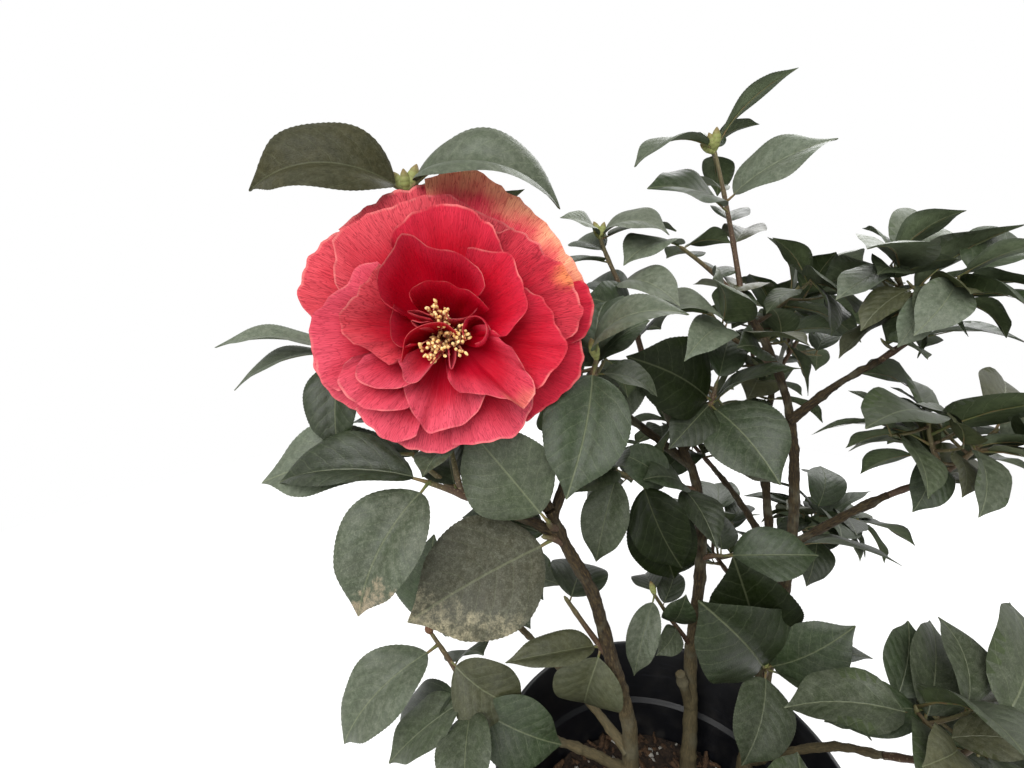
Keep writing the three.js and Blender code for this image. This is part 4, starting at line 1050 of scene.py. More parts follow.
for one in range(SEPALS):
    turn = one * math.radians(360 / SEPALS * 2 + 9)  # two steps round and a little more
    share = np.linspace(0, 1, 9)[:, None]
    side = np.linspace(-1, 1, 9)[None, :]
    out = BLOOM_UP * math.cos(turn) + BLOOM_RIGHT * math.sin(turn)
    across = np.cross(out, BLOOM_AXIS)
    half = 6.5 * np.sin(math.pi * (0.18 + 0.8 * share)) ** 0.7
    grid = (BLOOM_SEAT - BLOOM_AXIS * 8.4 + out * (4.6 + 9 * np.sin(share * 1.35))[..., None]
            + BLOOM_AXIS * (9.6 * share ** 1.5 + half * 0.16 * side ** 2)[..., None]
            + across * (half * side)[..., None])
    points, faces = sheet(grid, 0.7)
    heart.add(points, faces, doubled(marks_of(side, share, 0.4)), CALYX)

# %% [markdown]
# Threads, anthers and sepals need no pattern, only a soft mottle between two colours. The same
# recipe serves for the stalks of the leaves.

# %% Finishes for small parts
def plain_look(name, first, second, size, rough, lift):
    """A soft mottled finish for small parts."""
    look = Look(name, Specular_IOR_Level=0.3)
    mottle = look.noise(look.place(), size, detail=4.0)
    return look.set(
        Base_Color=look.mix(mottle.above(0.35, 0.65), first, second),
        Roughness=rough + mottle * 0.15,
        Normal=look.bump(look.noise(look.place(), size * 3), 0.5, lift),
    )


HEART_LOOKS = [
    plain_look("filament", paint(226, 128, 112), paint(244, 186, 150), 300, 0.45, 0.1),
    plain_look("anther", paint(226, 180, 104), paint(250, 224, 166), 900, 0.85, 0.3),
    plain_look("calyx", paint(96, 104, 66), paint(128, 124, 84), 240, 0.6, 0.3),
]
heart.piece("stamens_and_calyx", "petal_place", HEART_LOOKS, "petal")

# %% [markdown]
# ## How the foliage grows
# A camellia's leaves turn round the twig one after another by about 137.5 degrees and end in a
# close rosette. The masses that face the open side have their leaves set one by one; the others
# follow the growth rule, with a seed each, and a last order of fine twigs within their reach.

# %% Leaves, twigs and buds as plain records
OPEN_SIDE = unit(np.array([-0.2, -0.93, 0.3]))  # towards the viewer
CROWN_AXIS = np.array([10.0, 70.0])
PETIOLE = 0.11  # the stalk's share of a leaf's length
TWIG_TIP, TWIG_ROOT = 1.15, 2.0
NODE_SPACING = 17
LEAF_TURN = 137.5
LAST_NODE = 0.96  # the last leaf sits a little before the twig's end


def leaf(at, heading, rise, length, turn=0.0, breadth=0.56, fold=16, arch=50, tone="dusty",
         show=True):
    return dict(at=at, heading=heading, rise=rise, length=length, turn=turn, breadth=breadth,
                fold=fold, arch=arch, tone=tone, show=show)


def twig(at, heading, rise, length, leaves=(), buds=(), lift=20):
    return dict(at=at, heading=heading, rise=rise, length=length, leaves=leaves, buds=buds,
                lift=lift)


def bud(at, heading, rise, length, girth=0.21, ripe=0.0):
    return dict(at=at, heading=heading, rise=rise, length=length, girth=girth, ripe=ripe)


def draws_from(seed):
    """Even numbers from 0 to 1, the same on every run for one seed."""
    state = seed
    while True:
        state = (state * 1664525 + 1013904223) % 2 ** 32
        yield state / 2 ** 32

# %% [markdown]
# At each node the rule turns the leaf by 137.5 degrees, give or take, and leans it forward.
# Some nodes bear a side twig, which follows the same rule and ends in a rosette of its own.

# %% The growth rule
# painted shade and light: a shaded spray wears darker tones and a lit one paler, dustier ones, on
# top of the real deeper green of leaves that grow in shade
SHADED_AND_LIT_TONES = {  # what a shaded, a middling and a lit spray may wear
    "deep": ("deep", "green", "olive", "sage"),
    "green": ("green", "sage", "dusty", "olive", "sage"),
    "dusty": ("sage", "dusty", "silver", "olive", "green"),
}


def grown_on(length, heading, rise, draw, side_twigs, leaf_length, bare, light):
    """The leaves and side twigs of one twig."""
    forward = direction_of(heading, rise)
    side = square_to(forward, UP)
    other = np.cross(forward, side)
    leaves, twigs = [], []
    nodes = max(3, math.floor(length * (1 - bare) / NODE_SPACING + 0.5))
    turn = next(draw) * 360
    # painted shade and light: the spray's light level picks its tones
    tones = SHADED_AND_LIT_TONES[light]
    tone = tones[int(turn) % len(tones)]
    for node in range(nodes + 1):
        turn += LEAF_TURN + (next(draw) - 0.5) * 30
        at = min(1, bare + (1 - bare) * node / nodes)
        out = side * math.cos(math.radians(turn)) + other * math.sin(math.radians(turn))
        bears_twig = len(twigs) < side_twigs and node % 2 == 1 and node < nodes
        way = unit(out + forward * (0.75 if bears_twig else 0.45) + UP * 0.15)  # leans forward
        way_heading = math.degrees(math.atan2(way[1], way[0]))
        way_rise = math.degrees(math.asin(way[2]))
        size, spread, curl = next(draw), next(draw), next(draw)
        if bears_twig:
            reach = length * (0.45 + 0.2 * size)
            grown, _ = grown_on(reach, way_heading, way_rise, draw, 0, leaf_length, 0.45, light)
            twigs.append(twig(at, way_heading, way_rise, reach, grown, lift=30))
        else:
            leaves.append(leaf(at, way_heading, way_rise - 14, leaf_length * (0.82 + 0.34 * size),
                               breadth=0.52 + 0.1 * spread, arch=35 + 45 * curl,
                               fold=10 + 16 * spread, tone=tone, show=False))
    return leaves, twigs

# %% [markdown]
# The masses that face the open side are set leaf by leaf from what shows: where on its twig a leaf
# sits, the way it points, its length, how far it is turned to the viewer, its breadth, fold and
# arch, and its tone.

# %% The masses at the left
MASSES = []


def foliage(name, points, leaves=(), twigs=(), buds=(), radius=TWIG_ROOT):
    MASSES.append(dict(name=name, points=points, leaves=list(leaves), twigs=list(twigs),
                       buds=list(buds), radius=radius))


foliage("bloom_shoot_foliage", [(-107, 7, 424), (-124, 12, 455), (-138, 17, 494),
                                (-145, 17, 528)], [
    leaf(1.0, 191, 0, 78, turn=0.66, arch=92, breadth=0.56, fold=26, tone="shade"),
    leaf(0.98, 350, -6, 86, turn=0.36, arch=112, breadth=0.46, fold=28, tone="dusty"),
    leaf(0.7, 95, 12, 66, tone="green"), leaf(0.45, 40, -10, 62, tone="deep"),
    leaf(0.85, 60, 30, 54, tone="sage"),
], [
    twig(0.3, 180, -4, 62, [
        leaf(1, 187, 4, 60, turn=0.0, breadth=0.42, fold=22, tone="silver"),
        leaf(1, 194, -18, 54, turn=0.1, breadth=0.42, tone="dusty"),
        leaf(0.9, 272, -62, 52, turn=0.8, breadth=0.62, fold=26, tone="deep"),
        leaf(0.7, 100, 5, 60, tone="green"),
    ]),
    twig(0.32, 278, 22, 11.8, lift=1),
], [bud(1, 170, 55, 13), bud(1, 250, 75, 12), bud(1, 20, 70, 15)])
foliage("fork_spur", [(-72, -4, 360), (-76, -14, 367), (-78, -21, 374)], [
    leaf(0.96, 172, 50, 62, turn=0.9, breadth=0.72, arch=24, fold=12, tone="sage"),
])
foliage("left_bough_foliage", [(-112, -16, 382), (-125, -21, 390.5), (-134, -25, 396)], [
    leaf(0.95, 176, -2, 76, turn=0.12, fold=40, arch=62, breadth=0.5, tone="deep"),
    leaf(1, 230, -48, 66, turn=0.82, breadth=0.64, arch=64, fold=26, tone="tipped"),
    leaf(0.4, 100, 0, 56, tone="deep"),
], [
    twig(0.12, 153, 26, 39, [
        leaf(1, 183, 2, 76, turn=0.34, breadth=0.56, arch=50, tone="silver"),
        leaf(0.8, 120, 0, 60, tone="green"),
    ]),
    twig(0.3, 120, 60, 24, [
        leaf(1, 60, 30, 40, tone="green"), leaf(1, 250, 10, 36, turn=0.6, tone="sage"),
    ]),
])
foliage("main_stem_spur", [(-68, -2.2, 350), (-74, -7, 356), (-80, -12, 360)], [
    leaf(0.5, 205, -17, 82, turn=0.88, breadth=0.7, arch=30, fold=14, tone="weathered"),
    leaf(0.5, 150, -4, 60, tone="green"),
    leaf(1, 140, 16, 44, turn=0.4, breadth=0.46, tone="shade"),
])
foliage("lower_spur", [(-38, 7.6, 268), (-52, 5.6, 290), (-66, 4, 313)], [
    leaf(0.2, 196, 4, 60, turn=0.1, fold=38, breadth=0.4, tone="olive"),
    leaf(0.2, 104, -72, 66, turn=0.85, breadth=0.66, tone="pale"),
    leaf(0.9, 70, -2, 44, turn=0.8, breadth=0.8, tone="deep"),
])
foliage("lower_left_foliage", [(-117, 8, 231), (-129, 14, 254), (-145, 19, 279)], [
    leaf(0.8, 206, -38, 80, turn=0.58, breadth=0.5, arch=70, fold=22, tone="dusty"),
    leaf(0.25, 166, -52, 78, turn=0.1, breadth=0.44, tone="deep"),
    leaf(1, 80, 76, 60, turn=1, breadth=0.7, arch=20, tone="green"),
    leaf(0.6, 352, -32, 56, turn=0.9, breadth=0.78, arch=50, tone="olive"),
    leaf(0.06, 350, -20, 60, turn=0.8, breadth=0.7, tone="green"),
    leaf(0.12, 200, -30, 60, tone="sage"), leaf(0.5, 70, -34, 56, tone="deep"),
    leaf(0.05, 270, -12, 60, turn=0.5, tone="sage"),
], buds=[bud(0.95, 150, 60, 6.5, 0.4, 0.9)])
foliage("inner_foliage", [(-58, 5, 430), (-55, 7, 439), (-53, 8, 447)], [
    leaf(0.8, 238, -54, 70, turn=0.92, breadth=0.6, arch=34, fold=20, tone="green"),
    leaf(1, 321, 30, 62, turn=0.2, arch=120, breadth=0.42, tone="dusty"),
    leaf(0.9, 75, 25, 60, tone="green"),
], buds=[bud(1, 200, 70, 12)])
print("masses so far:", len(MASSES))

# %% [markdown]
# Right of the bloom the masses stand further back, on the second and the right stem. Their leaves
# are darker below, where the crown shades them, and silvery at the tips of the shoots. The dark
# tones are partly painted shade, and the silver is dust and partly painted light.

# %% The masses in the middle and at the right
foliage("upper_middle_foliage", [(-8, 85, 424), (-22, 88, 465), (-36, 92, 495), (-41, 95, 508)], [
    leaf(0.08, 224, -45, 64, turn=0.7, tone="sage"),
    leaf(0.3, 229, 20, 56, turn=0.7, breadth=0.64, tone="green"),
    leaf(0.78, 205, -8, 48, turn=0.3, tone="green"),
    leaf(0.6, 305, -10, 54, arch=100, turn=0.3, tone="silver"),
    leaf(1, 205, 22, 34, arch=60, turn=0.5, tone="silver"),
    leaf(0.97, 328, 2, 50, arch=100, turn=0.4, tone="silver"),
    leaf(0.95, 12, 6, 54, turn=0.3, breadth=0.44, tone="dusty"),
    leaf(0.5, 110, 10, 50, tone="green"), leaf(0.85, 110, 10, 44, tone="green"),
    leaf(0.2, 60, 0, 58, tone="deep"),
    leaf(0.36, 330, 4, 60, turn=0.3, arch=80, tone="silver"),
], buds=[bud(1, 150, 65, 12), bud(1, 30, 75, 11)])
foliage("centre_foliage", [(34, 81, 397), (37, 83, 406), (39, 85, 415)], [
    leaf(0.3, 203, 27, 80, turn=0.9, breadth=0.64, arch=34, tone="dark"),
    leaf(0.1, 320, 34, 62, turn=0.4, tone="deep"),
    leaf(0.15, 296, -30, 68, turn=0.9, breadth=0.74, tone="green"),
    leaf(0.5, 330, -50, 72, turn=0.8, breadth=0.62, tone="olive"),
    leaf(0.2, 220, -24, 52, turn=0.6, tone="deep"), leaf(0.94, 60, 30, 50, tone="green"),
])
foliage("second_stem_foliage", [(29.5, 76, 341), (8, 66, 350), (-12, 58, 357), (-33, 47, 369)], [
    leaf(0.16, 217, 23, 50, turn=0.3, tone="green"), leaf(0.2, 284, -26, 48, turn=0.6, tone="deep"),
    leaf(0.68, 321, -58, 62, turn=0.85, breadth=0.62, fold=22, tone="dark"),
    leaf(0.6, 345, -72, 74, turn=0.5, breadth=0.6, tone="dark"),
    leaf(1, 222, 0, 46, turn=0.3, tone="sage"), leaf(0.95, 262, 28, 46, turn=0.5, tone="green"),
    leaf(0.96, 232, -66, 58, turn=0.75, breadth=0.52, fold=24, tone="sage"),
    leaf(0.45, 110, 5, 46, tone="deep"), leaf(0.36, 190, 34, 50, turn=0.5, tone="green"),
])
foliage("second_stem_low_foliage", [(33, 66, 224), (24, 63, 238), (15, 60, 251), (-1, 55, 277)], [
    leaf(0.5, 274, 64, 40, turn=0.7, tone="green"), leaf(0.4, 229, -7, 32, turn=0.6, tone="sage"),
    leaf(0.97, 235, -56, 54, turn=0.6, breadth=0.42, fold=26, tone="dusty"),
    leaf(1, 85, -15, 40, tone="deep"), leaf(0.75, 60, 20, 34, tone="deep"),
], buds=[bud(1, 130, 65, 10)], radius=1.8)
foliage("second_stem_spur", [(35.6, 71.5, 292), (42, 67, 297), (48, 62, 300)], [
    leaf(0.95, 342, 12, 58, turn=0.6, breadth=0.62, tone="green"),
    leaf(0.8, 80, 10, 50, tone="deep"),
])
foliage("right_low_foliage", [(79, 50, 212), (77, 46, 221), (74, 42, 229)], [
    leaf(0.86, 193, 48, 88, turn=0.9, breadth=0.74, arch=36, tone="deep"),
    leaf(0.96, 176, 70, 90, turn=0.9, breadth=0.66, arch=24, tone="dark"),
    leaf(0.7, 233, -36, 62, turn=0.8, breadth=0.68, tone="sage"),
    leaf(0.98, 330, 50, 70, turn=0.5, tone="green"),
    leaf(0.8, 305, 0, 66, tone="sage"), leaf(0.86, 350, 20, 66, tone="deep"),
], buds=[bud(1, 200, 80, 10)])
foliage("right_stem_spur", [(96, 73, 303), (92, 63, 308), (88, 56, 311)], [
    leaf(1, 232, -36, 60, turn=0.8, breadth=0.62, tone="weathered"),
    leaf(0.9, 160, 30, 56, turn=0.5, tone="green"), leaf(0.8, 320, 10, 60, tone="deep"),
])
foliage("right_shoot_foliage", [(86, 99.5, 417), (68, 98, 432), (51, 95, 441), (39, 91, 451)], [
    leaf(1, 238, 38, 56, turn=0.5, breadth=0.8, fold=28, tone="sage"),
    leaf(0.8, 218, -10, 72, turn=0.5, arch=80, breadth=0.36, tone="silver"),
    leaf(0.5, 20, 12, 60, tone="green"), leaf(0.28, 225, 16, 50, turn=0.6, tone="deep"),
    leaf(0.9, 60, 30, 52, tone="green"), leaf(0.56, 285, 10, 56, turn=0.5, tone="olive"),
])
foliage("top_right_foliage", [(63, 114, 462), (54, 121, 505), (47, 124, 532), (38, 129, 565)], [
    leaf(0.98, 196, -12, 66, arch=84, turn=0.3, breadth=0.46, tone="dusty"),
    leaf(1, 350, 46, 68, arch=50, turn=0.2, breadth=0.36, tone="silver"),
    leaf(0.58, 196, 12, 66, turn=0.5, breadth=0.64, tone="green"),
    leaf(0.64, 335, 30, 72, turn=0.6, breadth=0.6, tone="silver"),
    leaf(0.5, 70, 10, 50, tone="green"), leaf(0.96, 90, 25, 36, tone="green"),
    leaf(0.7, 100, 10, 42, tone="sage"), leaf(0.36, 60, 14, 54, tone="olive"),
], buds=[bud(1, 200, 60, 13), bud(1, 250, 80, 15), bud(0.95, 160, 30, 12)])
foliage("upper_right_foliage", [(70, 109.5, 450), (48, 107, 474), (30, 103, 488), (12, 100, 500)], [
    leaf(0.97, 214, -10, 58, arch=70, turn=0.4, tone="silver"), leaf(1, 20, 6, 40, tone="dusty"),
    leaf(0.62, 250, -62, 46, turn=0.6, tone="sage"), leaf(0.8, 100, 0, 46, tone="sage"),
    leaf(0.5, 80, 6, 46, tone="green"),
])
print("masses so far:", len(MASSES))

# %% [markdown]
# The sides and the back of the crown aren't in the photo. The rule fills them, so that the plant
# is full from every side. Each mass has its seed, its side twigs, its line and its light. The light
# picks darker tones for a shaded mass and paler ones for a lit mass: painted shade and light.

# %% The masses that the growth rule gives
RULE_MASSES = [
    ("back_left_foliage", 11, 3, [(-58, 112, 408), (-100, 120, 432), (-142, 112, 462)], "dusty"),
    ("back_top_foliage", 23, 3, [(102, 158, 370), (98, 166, 420), (84, 160, 470)], "green"),
    ("back_upper_foliage", 37, 2, [(130, 186, 392), (148, 200, 412), (166, 206, 440)], "green"),
    ("back_middle_foliage", 41, 2, [(80, 172, 314), (60, 190, 336), (36, 196, 362)], "green"),
    ("back_outer_foliage", 53, 2, [(142, 122, 250), (160, 134, 266), (176, 140, 292)], "deep"),
    ("back_low_foliage", 59, 2, [(90, 140, 230), (84, 166, 236), (68, 186, 250)], "deep"),
    ("left_back_foliage", 67, 2, [(-92, 92, 222), (-108, 112, 228), (-118, 134, 240)], "dusty"),
    ("right_outer_foliage", 61, 2, [(140, 52, 350), (162, 40, 372), (176, 30, 402)], "green"),
    ("right_upper_foliage", 71, 2, [(132, 70, 432), (146, 56, 456), (150, 44, 486)], "dusty"),
    ("right_front_foliage", 83, 2, [(108, -22, 232), (118, -44, 256), (126, -56, 290)], "green"),
    ("front_foliage", 97, 2, [(8, -78, 217), (6, -100, 228), (-8, -118, 240)], "dusty"),
]
LEAF_LENGTH, BARE_FOOT = 68, 0.2
# the last column, held in tone here, is the mass's light level: it picks darker tones for shade and
# paler ones for light, which is painted shade and light
for name, seed, side_twigs, points, tone in RULE_MASSES:
    _, length = smooth_path(points, 2)
    end = np.subtract(points[-1], points[-2])
    heading = math.degrees(math.atan2(end[1], end[0]))
    rise = math.degrees(math.atan2(end[2], math.hypot(end[0], end[1])))
    leaves, twigs = grown_on(length, heading, rise, draws_from(seed), side_twigs, LEAF_LENGTH,
                             BARE_FOOT, tone)
    foliage(name, points, leaves, twigs)
print("masses:", len(MASSES), "of which by the rule:", len(RULE_MASSES))

# %% [markdown]
# ## Leaves
# A camellia leaf is leathery: a short stalk, an oval blade with a drawn-out tip and fine teeth, a
# fold along the midrib and an arch along its length. The frame's rule gives its place, outline,
# fold and arch. Here the blade is a fine closed sheet, with a slight twist, a wavy margin and
# teeth where it is seen from near, and the stalk runs on under the blade as the midrib.

# %% A leaf's blade and stalk
def on_arc(start, direction, normal, length, bend, share):
    """Places on an arc that leaves its chord by half the bend, and the normals there."""
    turn = max(math.radians(bend), 1e-4)
    angle = (turn * (0.5 - share))[..., None]
    along = (math.sin(turn / 2) - np.sin(angle)) / turn
    off = (np.cos(angle) - math.cos(turn / 2)) / turn
    place = start + direction * length * along + normal * length * off
    return place, normal * np.cos(angle) - direction * np.sin(angle)


def light_at(place):
    """The light that a leaf turns to: the sky and the outside of the crown."""
    outward = np.array([place[0] - CROWN_AXIS[0], place[1] - CROWN_AXIS[1], 0.0])
    return unit(UP + unit(outward) * 0.5)


def leaf_frame(start, one):
    direction = direction_of(one["heading"], one["rise"])
    hint = light_at(start) * (1 - one["turn"]) + OPEN_SIDE * one["turn"]
    return direction, square_to(direction, hint)


def blade_grid(start, one, rows, columns, draw):
    """The blade's upper face as a grid, and the three marks of each point."""
    direction, normal = leaf_frame(start, one)
    across = np.cross(direction, normal)
    # the outline: an oval with a drawn-out tip, and teeth on the near leaves
    share = PETIOLE + (1 - PETIOLE) * np.linspace(0, 1, rows + 1) ** 0.92
    along = (share - PETIOLE) / (1 - PETIOLE)
    drawn = np.clip((along - 0.72) / 0.28, 0, 1)
    outline = np.sin(math.pi * along ** 0.84) ** 0.78 * (1 - 0.5 * drawn * drawn * (3 - 2 * drawn))
    half = np.maximum(one["length"] * one["breadth"] * 0.5 * outline, 0.25)
    teeth = one["length"] * 0.0042 * (np.arange(rows + 1) % 2) * (rows > 20) * (outline > 0.25)
    side = np.linspace(-1, 1, columns + 1)[None, :]
    place, bent = on_arc(start, direction, normal, one["length"], one["arch"], share)
    # the leaf's own twist, sway and waves
    twist, sway, wave, phase, dip = (next(draw) for _ in range(5))
    lean = math.radians(46 * (twist - 0.5)) * along[:, None] ** 1.5
    reach = half[:, None] + teeth[:, None] * (np.abs(side) > 0.99)
    # the fold along the midrib, rounded, with a ripple that grows towards the margin
    fold = math.radians(one["fold"])
    bulge = 1.5 * np.abs(side) - 0.5 * side ** 2 - 0.35 * side ** 4
    ripple = (0.04 + 0.10 * wave) * np.sin(9.5 * along[:, None] + 6.3 * phase + 2.2 * np.sign(side))
    rise = reach * (bulge * math.sin(fold) + ripple * side ** 2)
    rise = rise - one["length"] * 0.012 * dip * np.sin(6.3 * along[:, None] + 6 * phase) * side ** 2
    off = reach * side * math.cos(fold)
    bow = one["length"] * 0.07 * (sway - 0.5) * np.sin(math.pi * along)[:, None]
    level = off * np.cos(lean) - rise * np.sin(lean) + bow
    lifted = off * np.sin(lean) + rise * np.cos(lean)
    grid = place[:, None] + level[..., None] * across + lifted[..., None] * bent[:, None]
    return grid, marks_of(side * outline[:, None], along[:, None], twist)


def stalk_line(start, one, rows):
    """The stalk, and on from it the midrib under the blade."""
    direction, normal = leaf_frame(start, one)
    share = np.linspace(0, 0.86, rows + 1)
    place, bent = on_arc(start, direction, normal, one["length"], one["arch"], share)
    radius = one["length"] * (0.0135 * np.exp(-share * 2.6) + 0.004 * np.exp(-share * 40))
    sunk = np.minimum(1, share / PETIOLE)[:, None] * (radius * 0.75 + 0.1)[:, None]
    return place - bent * sunk, radius

# %% [markdown]
# Leaves do not grow through each other. Each blade is first tried as a coarse sheet against the
# wood, the petals and the blades of the other masses, with a search tree for each. A blade that
# would cross one of them is turned aside a little, and left out where that doesn't help.

# %% Room for a leaf
def tree_of(piece):
    faces = [list(face.vertices) for face in piece.data.polygons]
    return BVHTree.FromPolygons(points_of(piece.data).tolist(), faces)


OBSTACLES = [tree_of(piece) for piece in (*WOOD_PIECES.values(), petals)]
GROWN = []  # every leaf that is kept
COARSE_GRID = (8, 4)


def coarse_blade(start, one, seed):
    grid, _ = blade_grid(start, one, *COARSE_GRID, draws_from(seed))
    cells = np.arange(grid.shape[0] * grid.shape[1]).reshape(grid.shape[:2])
    return grid.reshape(-1, 3), quads_of(cells[1:])


def room_for(points, quads, mass, all_masses):
    """The blade's search tree and its box, or nothing where the blade would cross something."""
    low, high = points.min(0), points.max(0)
    tree = BVHTree.FromPolygons(points.tolist(), quads.tolist())
    for other in GROWN:
        if not all_masses and other["mass"] == mass:
            continue
        if (low > other["high"]).any() or (high < other["low"]).any():
            continue
        if tree.overlap(other["tree"]):
            return None
    if any(tree.overlap(obstacle) for obstacle in OBSTACLES):
        return None
    return dict(tree=tree, low=low, high=high)


FIRST_LEAF_SEED = 1000
STALK_SUNK = 0.8  # how far a stalk starts inside its twig
# The turns aside and up that are tried, in degrees
NUDGES = [(0, 0), (9, 4), (-9, 4), (0, 12), (6, -10), (-14, -4), (16, 8), (-20, 12), (24, -8)]
FAR_NUDGES = 3  # leaves that aren't seen from near try only the first few


def try_leaf(place, one, mass, all_masses=False, reach=None):
    """Keeps a leaf, turned aside a little if it has to be, and says whether it found room."""
    seed = FIRST_LEAF_SEED + len(GROWN) * 7
    for turn, lift in NUDGES if one["show"] else NUDGES[:FAR_NUDGES]:
        tried = dict(one, heading=one["heading"] + turn, rise=one["rise"] + lift)
        start = place - direction_of(tried["heading"], tried["rise"]) * STALK_SUNK
        points, quads = coarse_blade(start, tried, seed)
        if reach and ((points < reach[0]).any() or (points > reach[1]).any()):
            continue
        room = room_for(points, quads, mass, all_masses)
        if room:
            GROWN.append(dict(one=tried, start=start, mass=mass, seed=seed, **room))
            return True
    return False

# %% [markdown]
# A twig bears its leaves and buds at shares of its length. The first order of twigs is set out
# here, mass by mass. Every leaf that is kept is one more that the next leaves have to avoid.

# %% Set out every twig, leaf and bud
RODS = []  # every twig: its path, its radii and how young its two ends are
BUDS = []
LINES = {}  # the twigs of each mass
left_out = []


def bear(place_at, bearer, mass, all_masses=False, reach=None):
    """Sets out what a twig bears, and says how many leaves found room."""
    before = len(GROWN)
    for one in bearer["leaves"]:
        if not try_leaf(place_at(min(one["at"], LAST_NODE)), one, mass, all_masses, reach):
            left_out.append((mass, round(one["heading"])))
    for one in bearer["buds"]:
        BUDS.append((place_at(min(one["at"], LAST_NODE)), one))
    return len(GROWN) - before


def along_path(path):
    share = np.linspace(0, 1, len(path))
    return lambda at: np.array([np.interp(at, share, path[:, k]) for k in range(3)])


def twig_path(start, one, steps):
    direction = direction_of(one["heading"], one["rise"])
    shares = np.linspace(0, 1, steps + 1)
    sideways = -square_to(direction, UP)
    return on_arc(start, direction, sideways, one["length"], one["lift"], shares)[0]


for mass in MASSES:
    path, _ = smooth_path(mass["points"], 2)
    RODS.append((path, mass["radius"], TWIG_TIP, 0.2, 0.85))
    LINES[mass["name"]] = [path]
    bear(along_path(path), mass, mass["name"])
    for one in mass["twigs"]:
        path_out = twig_path(along_path(path)(one["at"]), one, max(4, round(one["length"] / 2.5)))
        RODS.append((path_out, TWIG_TIP * 1.35, TWIG_TIP, 0.5, 1.0))
        LINES[mass["name"]].append(path_out)
        bear(along_path(path_out), one, mass["name"])
print("leaves kept:", len(GROWN), "left out:", left_out)

# %% [markdown]
# The last order of growth is fine: short twigs with small leaves fill each mass from within. The
# same rule grows them, inside the box that the frame's mass holds, and a leaf that finds no room
# is not kept. Masses that face the open side grow them rearwards, so that the gaps in front of
# them stay open.

# %% Finer twigs
FINE_TWIG, FINE_TIP, FINE_LEAF, FINE_BARE = 1.0, 0.75, 42, 0.4
FIRST_TWIG_SEED = 500
MOST_FINE_TWIGS, SOME_FINE_TWIGS = 12, 3
FEW_FINE_TWIGS = {
    "lower_left_foliage": 0, "fork_spur": 0, "left_bough_foliage": 1, "top_right_foliage": 1,
    "upper_middle_foliage": 1, "upper_right_foliage": 1, "lower_spur": 1, "main_stem_spur": 1,
    "bloom_shoot_foliage": 2, "right_shoot_foliage": 2, "second_stem_foliage": 2,
}
REACH_BEYOND = 3  # how far a fine leaf may pass the box of its mass
# painted shade and light: each rule mass's light level, which also picks the tones of its fine
# leaves
PAINTED_LIT_LEVEL = {mass[0]: mass[-1] for mass in RULE_MASSES}
fine_leaves = 0
for number, mass in enumerate(MASSES):
    draw = draws_from(FIRST_TWIG_SEED + number)
    by_rule = mass["name"] in PAINTED_LIT_LEVEL
    low, high = (np.array(corner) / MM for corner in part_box(mass["name"]))
    reach = (low - REACH_BEYOND, high + REACH_BEYOND)
    few = FEW_FINE_TWIGS.get(mass["name"], SOME_FINE_TWIGS)
    for _ in range(MOST_FINE_TWIGS if by_rule else few):
        lines = LINES[mass["name"]]
        line = lines[int(next(draw) * len(lines))]
        start = along_path(line)(0.12 + 0.8 * next(draw))
        heading = 360 * next(draw) if by_rule else 90 + 150 * (next(draw) - 0.5)
        length = 16 + 14 * next(draw)
        one = twig(0, heading, -10 + 60 * next(draw), length, lift=24)
        one["leaves"], _ = grown_on(length, heading, one["rise"], draw, 0, FINE_LEAF, FINE_BARE,
                                    PAINTED_LIT_LEVEL.get(mass["name"], "green"))
        path = twig_path(start, one, 7)
        kept = bear(along_path(path), one, mass["name"], True, reach)
        if kept:
            RODS.append((path, FINE_TWIG, FINE_TIP, 0.6, 1.0))
        fine_leaves += kept
print("fine leaves:", fine_leaves, "twigs in all:", len(RODS))

# %% [markdown]
# No two leaves of one plant are the same green: young ones are fresh, shaded ones deep, and those
# that face the open wear a grey film of dust. The deep and dark tones of shaded leaves are partly
# painted shade, and the pale silver of lit ones is partly painted light. Each leaf carries its own
# plain colour and its share of dust, and one material for upper faces and one for undersides read
# them. The side veins fork off the midrib in a fishbone, sunk above and raised below, and the blade
# is quilted between them.

# %% Leaf finish
# painted shade and light besides each leaf's own green: the deep, dark and shade tones are darker
# partly as painted shade, and the silver tone is paler partly as painted light
TONES = {  # each tone's plain colour and its share of dust
    "silver": (paint(84, 94, 76), 0.7), "dusty": (paint(67, 77, 57), 0.55),
    "sage": (paint(56, 67, 42), 0.42), "olive": (paint(67, 68, 41), 0.36),
    "green": (paint(42, 57, 29), 0.3), "deep": (paint(32, 43, 19), 0.18),
    "dark": (paint(23, 32, 9), 0.05), "weathered": (paint(62, 60, 44), 0.5),
    "pale": (paint(78, 80, 54), 0.4), "shade": (paint(58, 56, 34), 0.15),
    "tipped": (paint(52, 62, 42), 0.75),
}


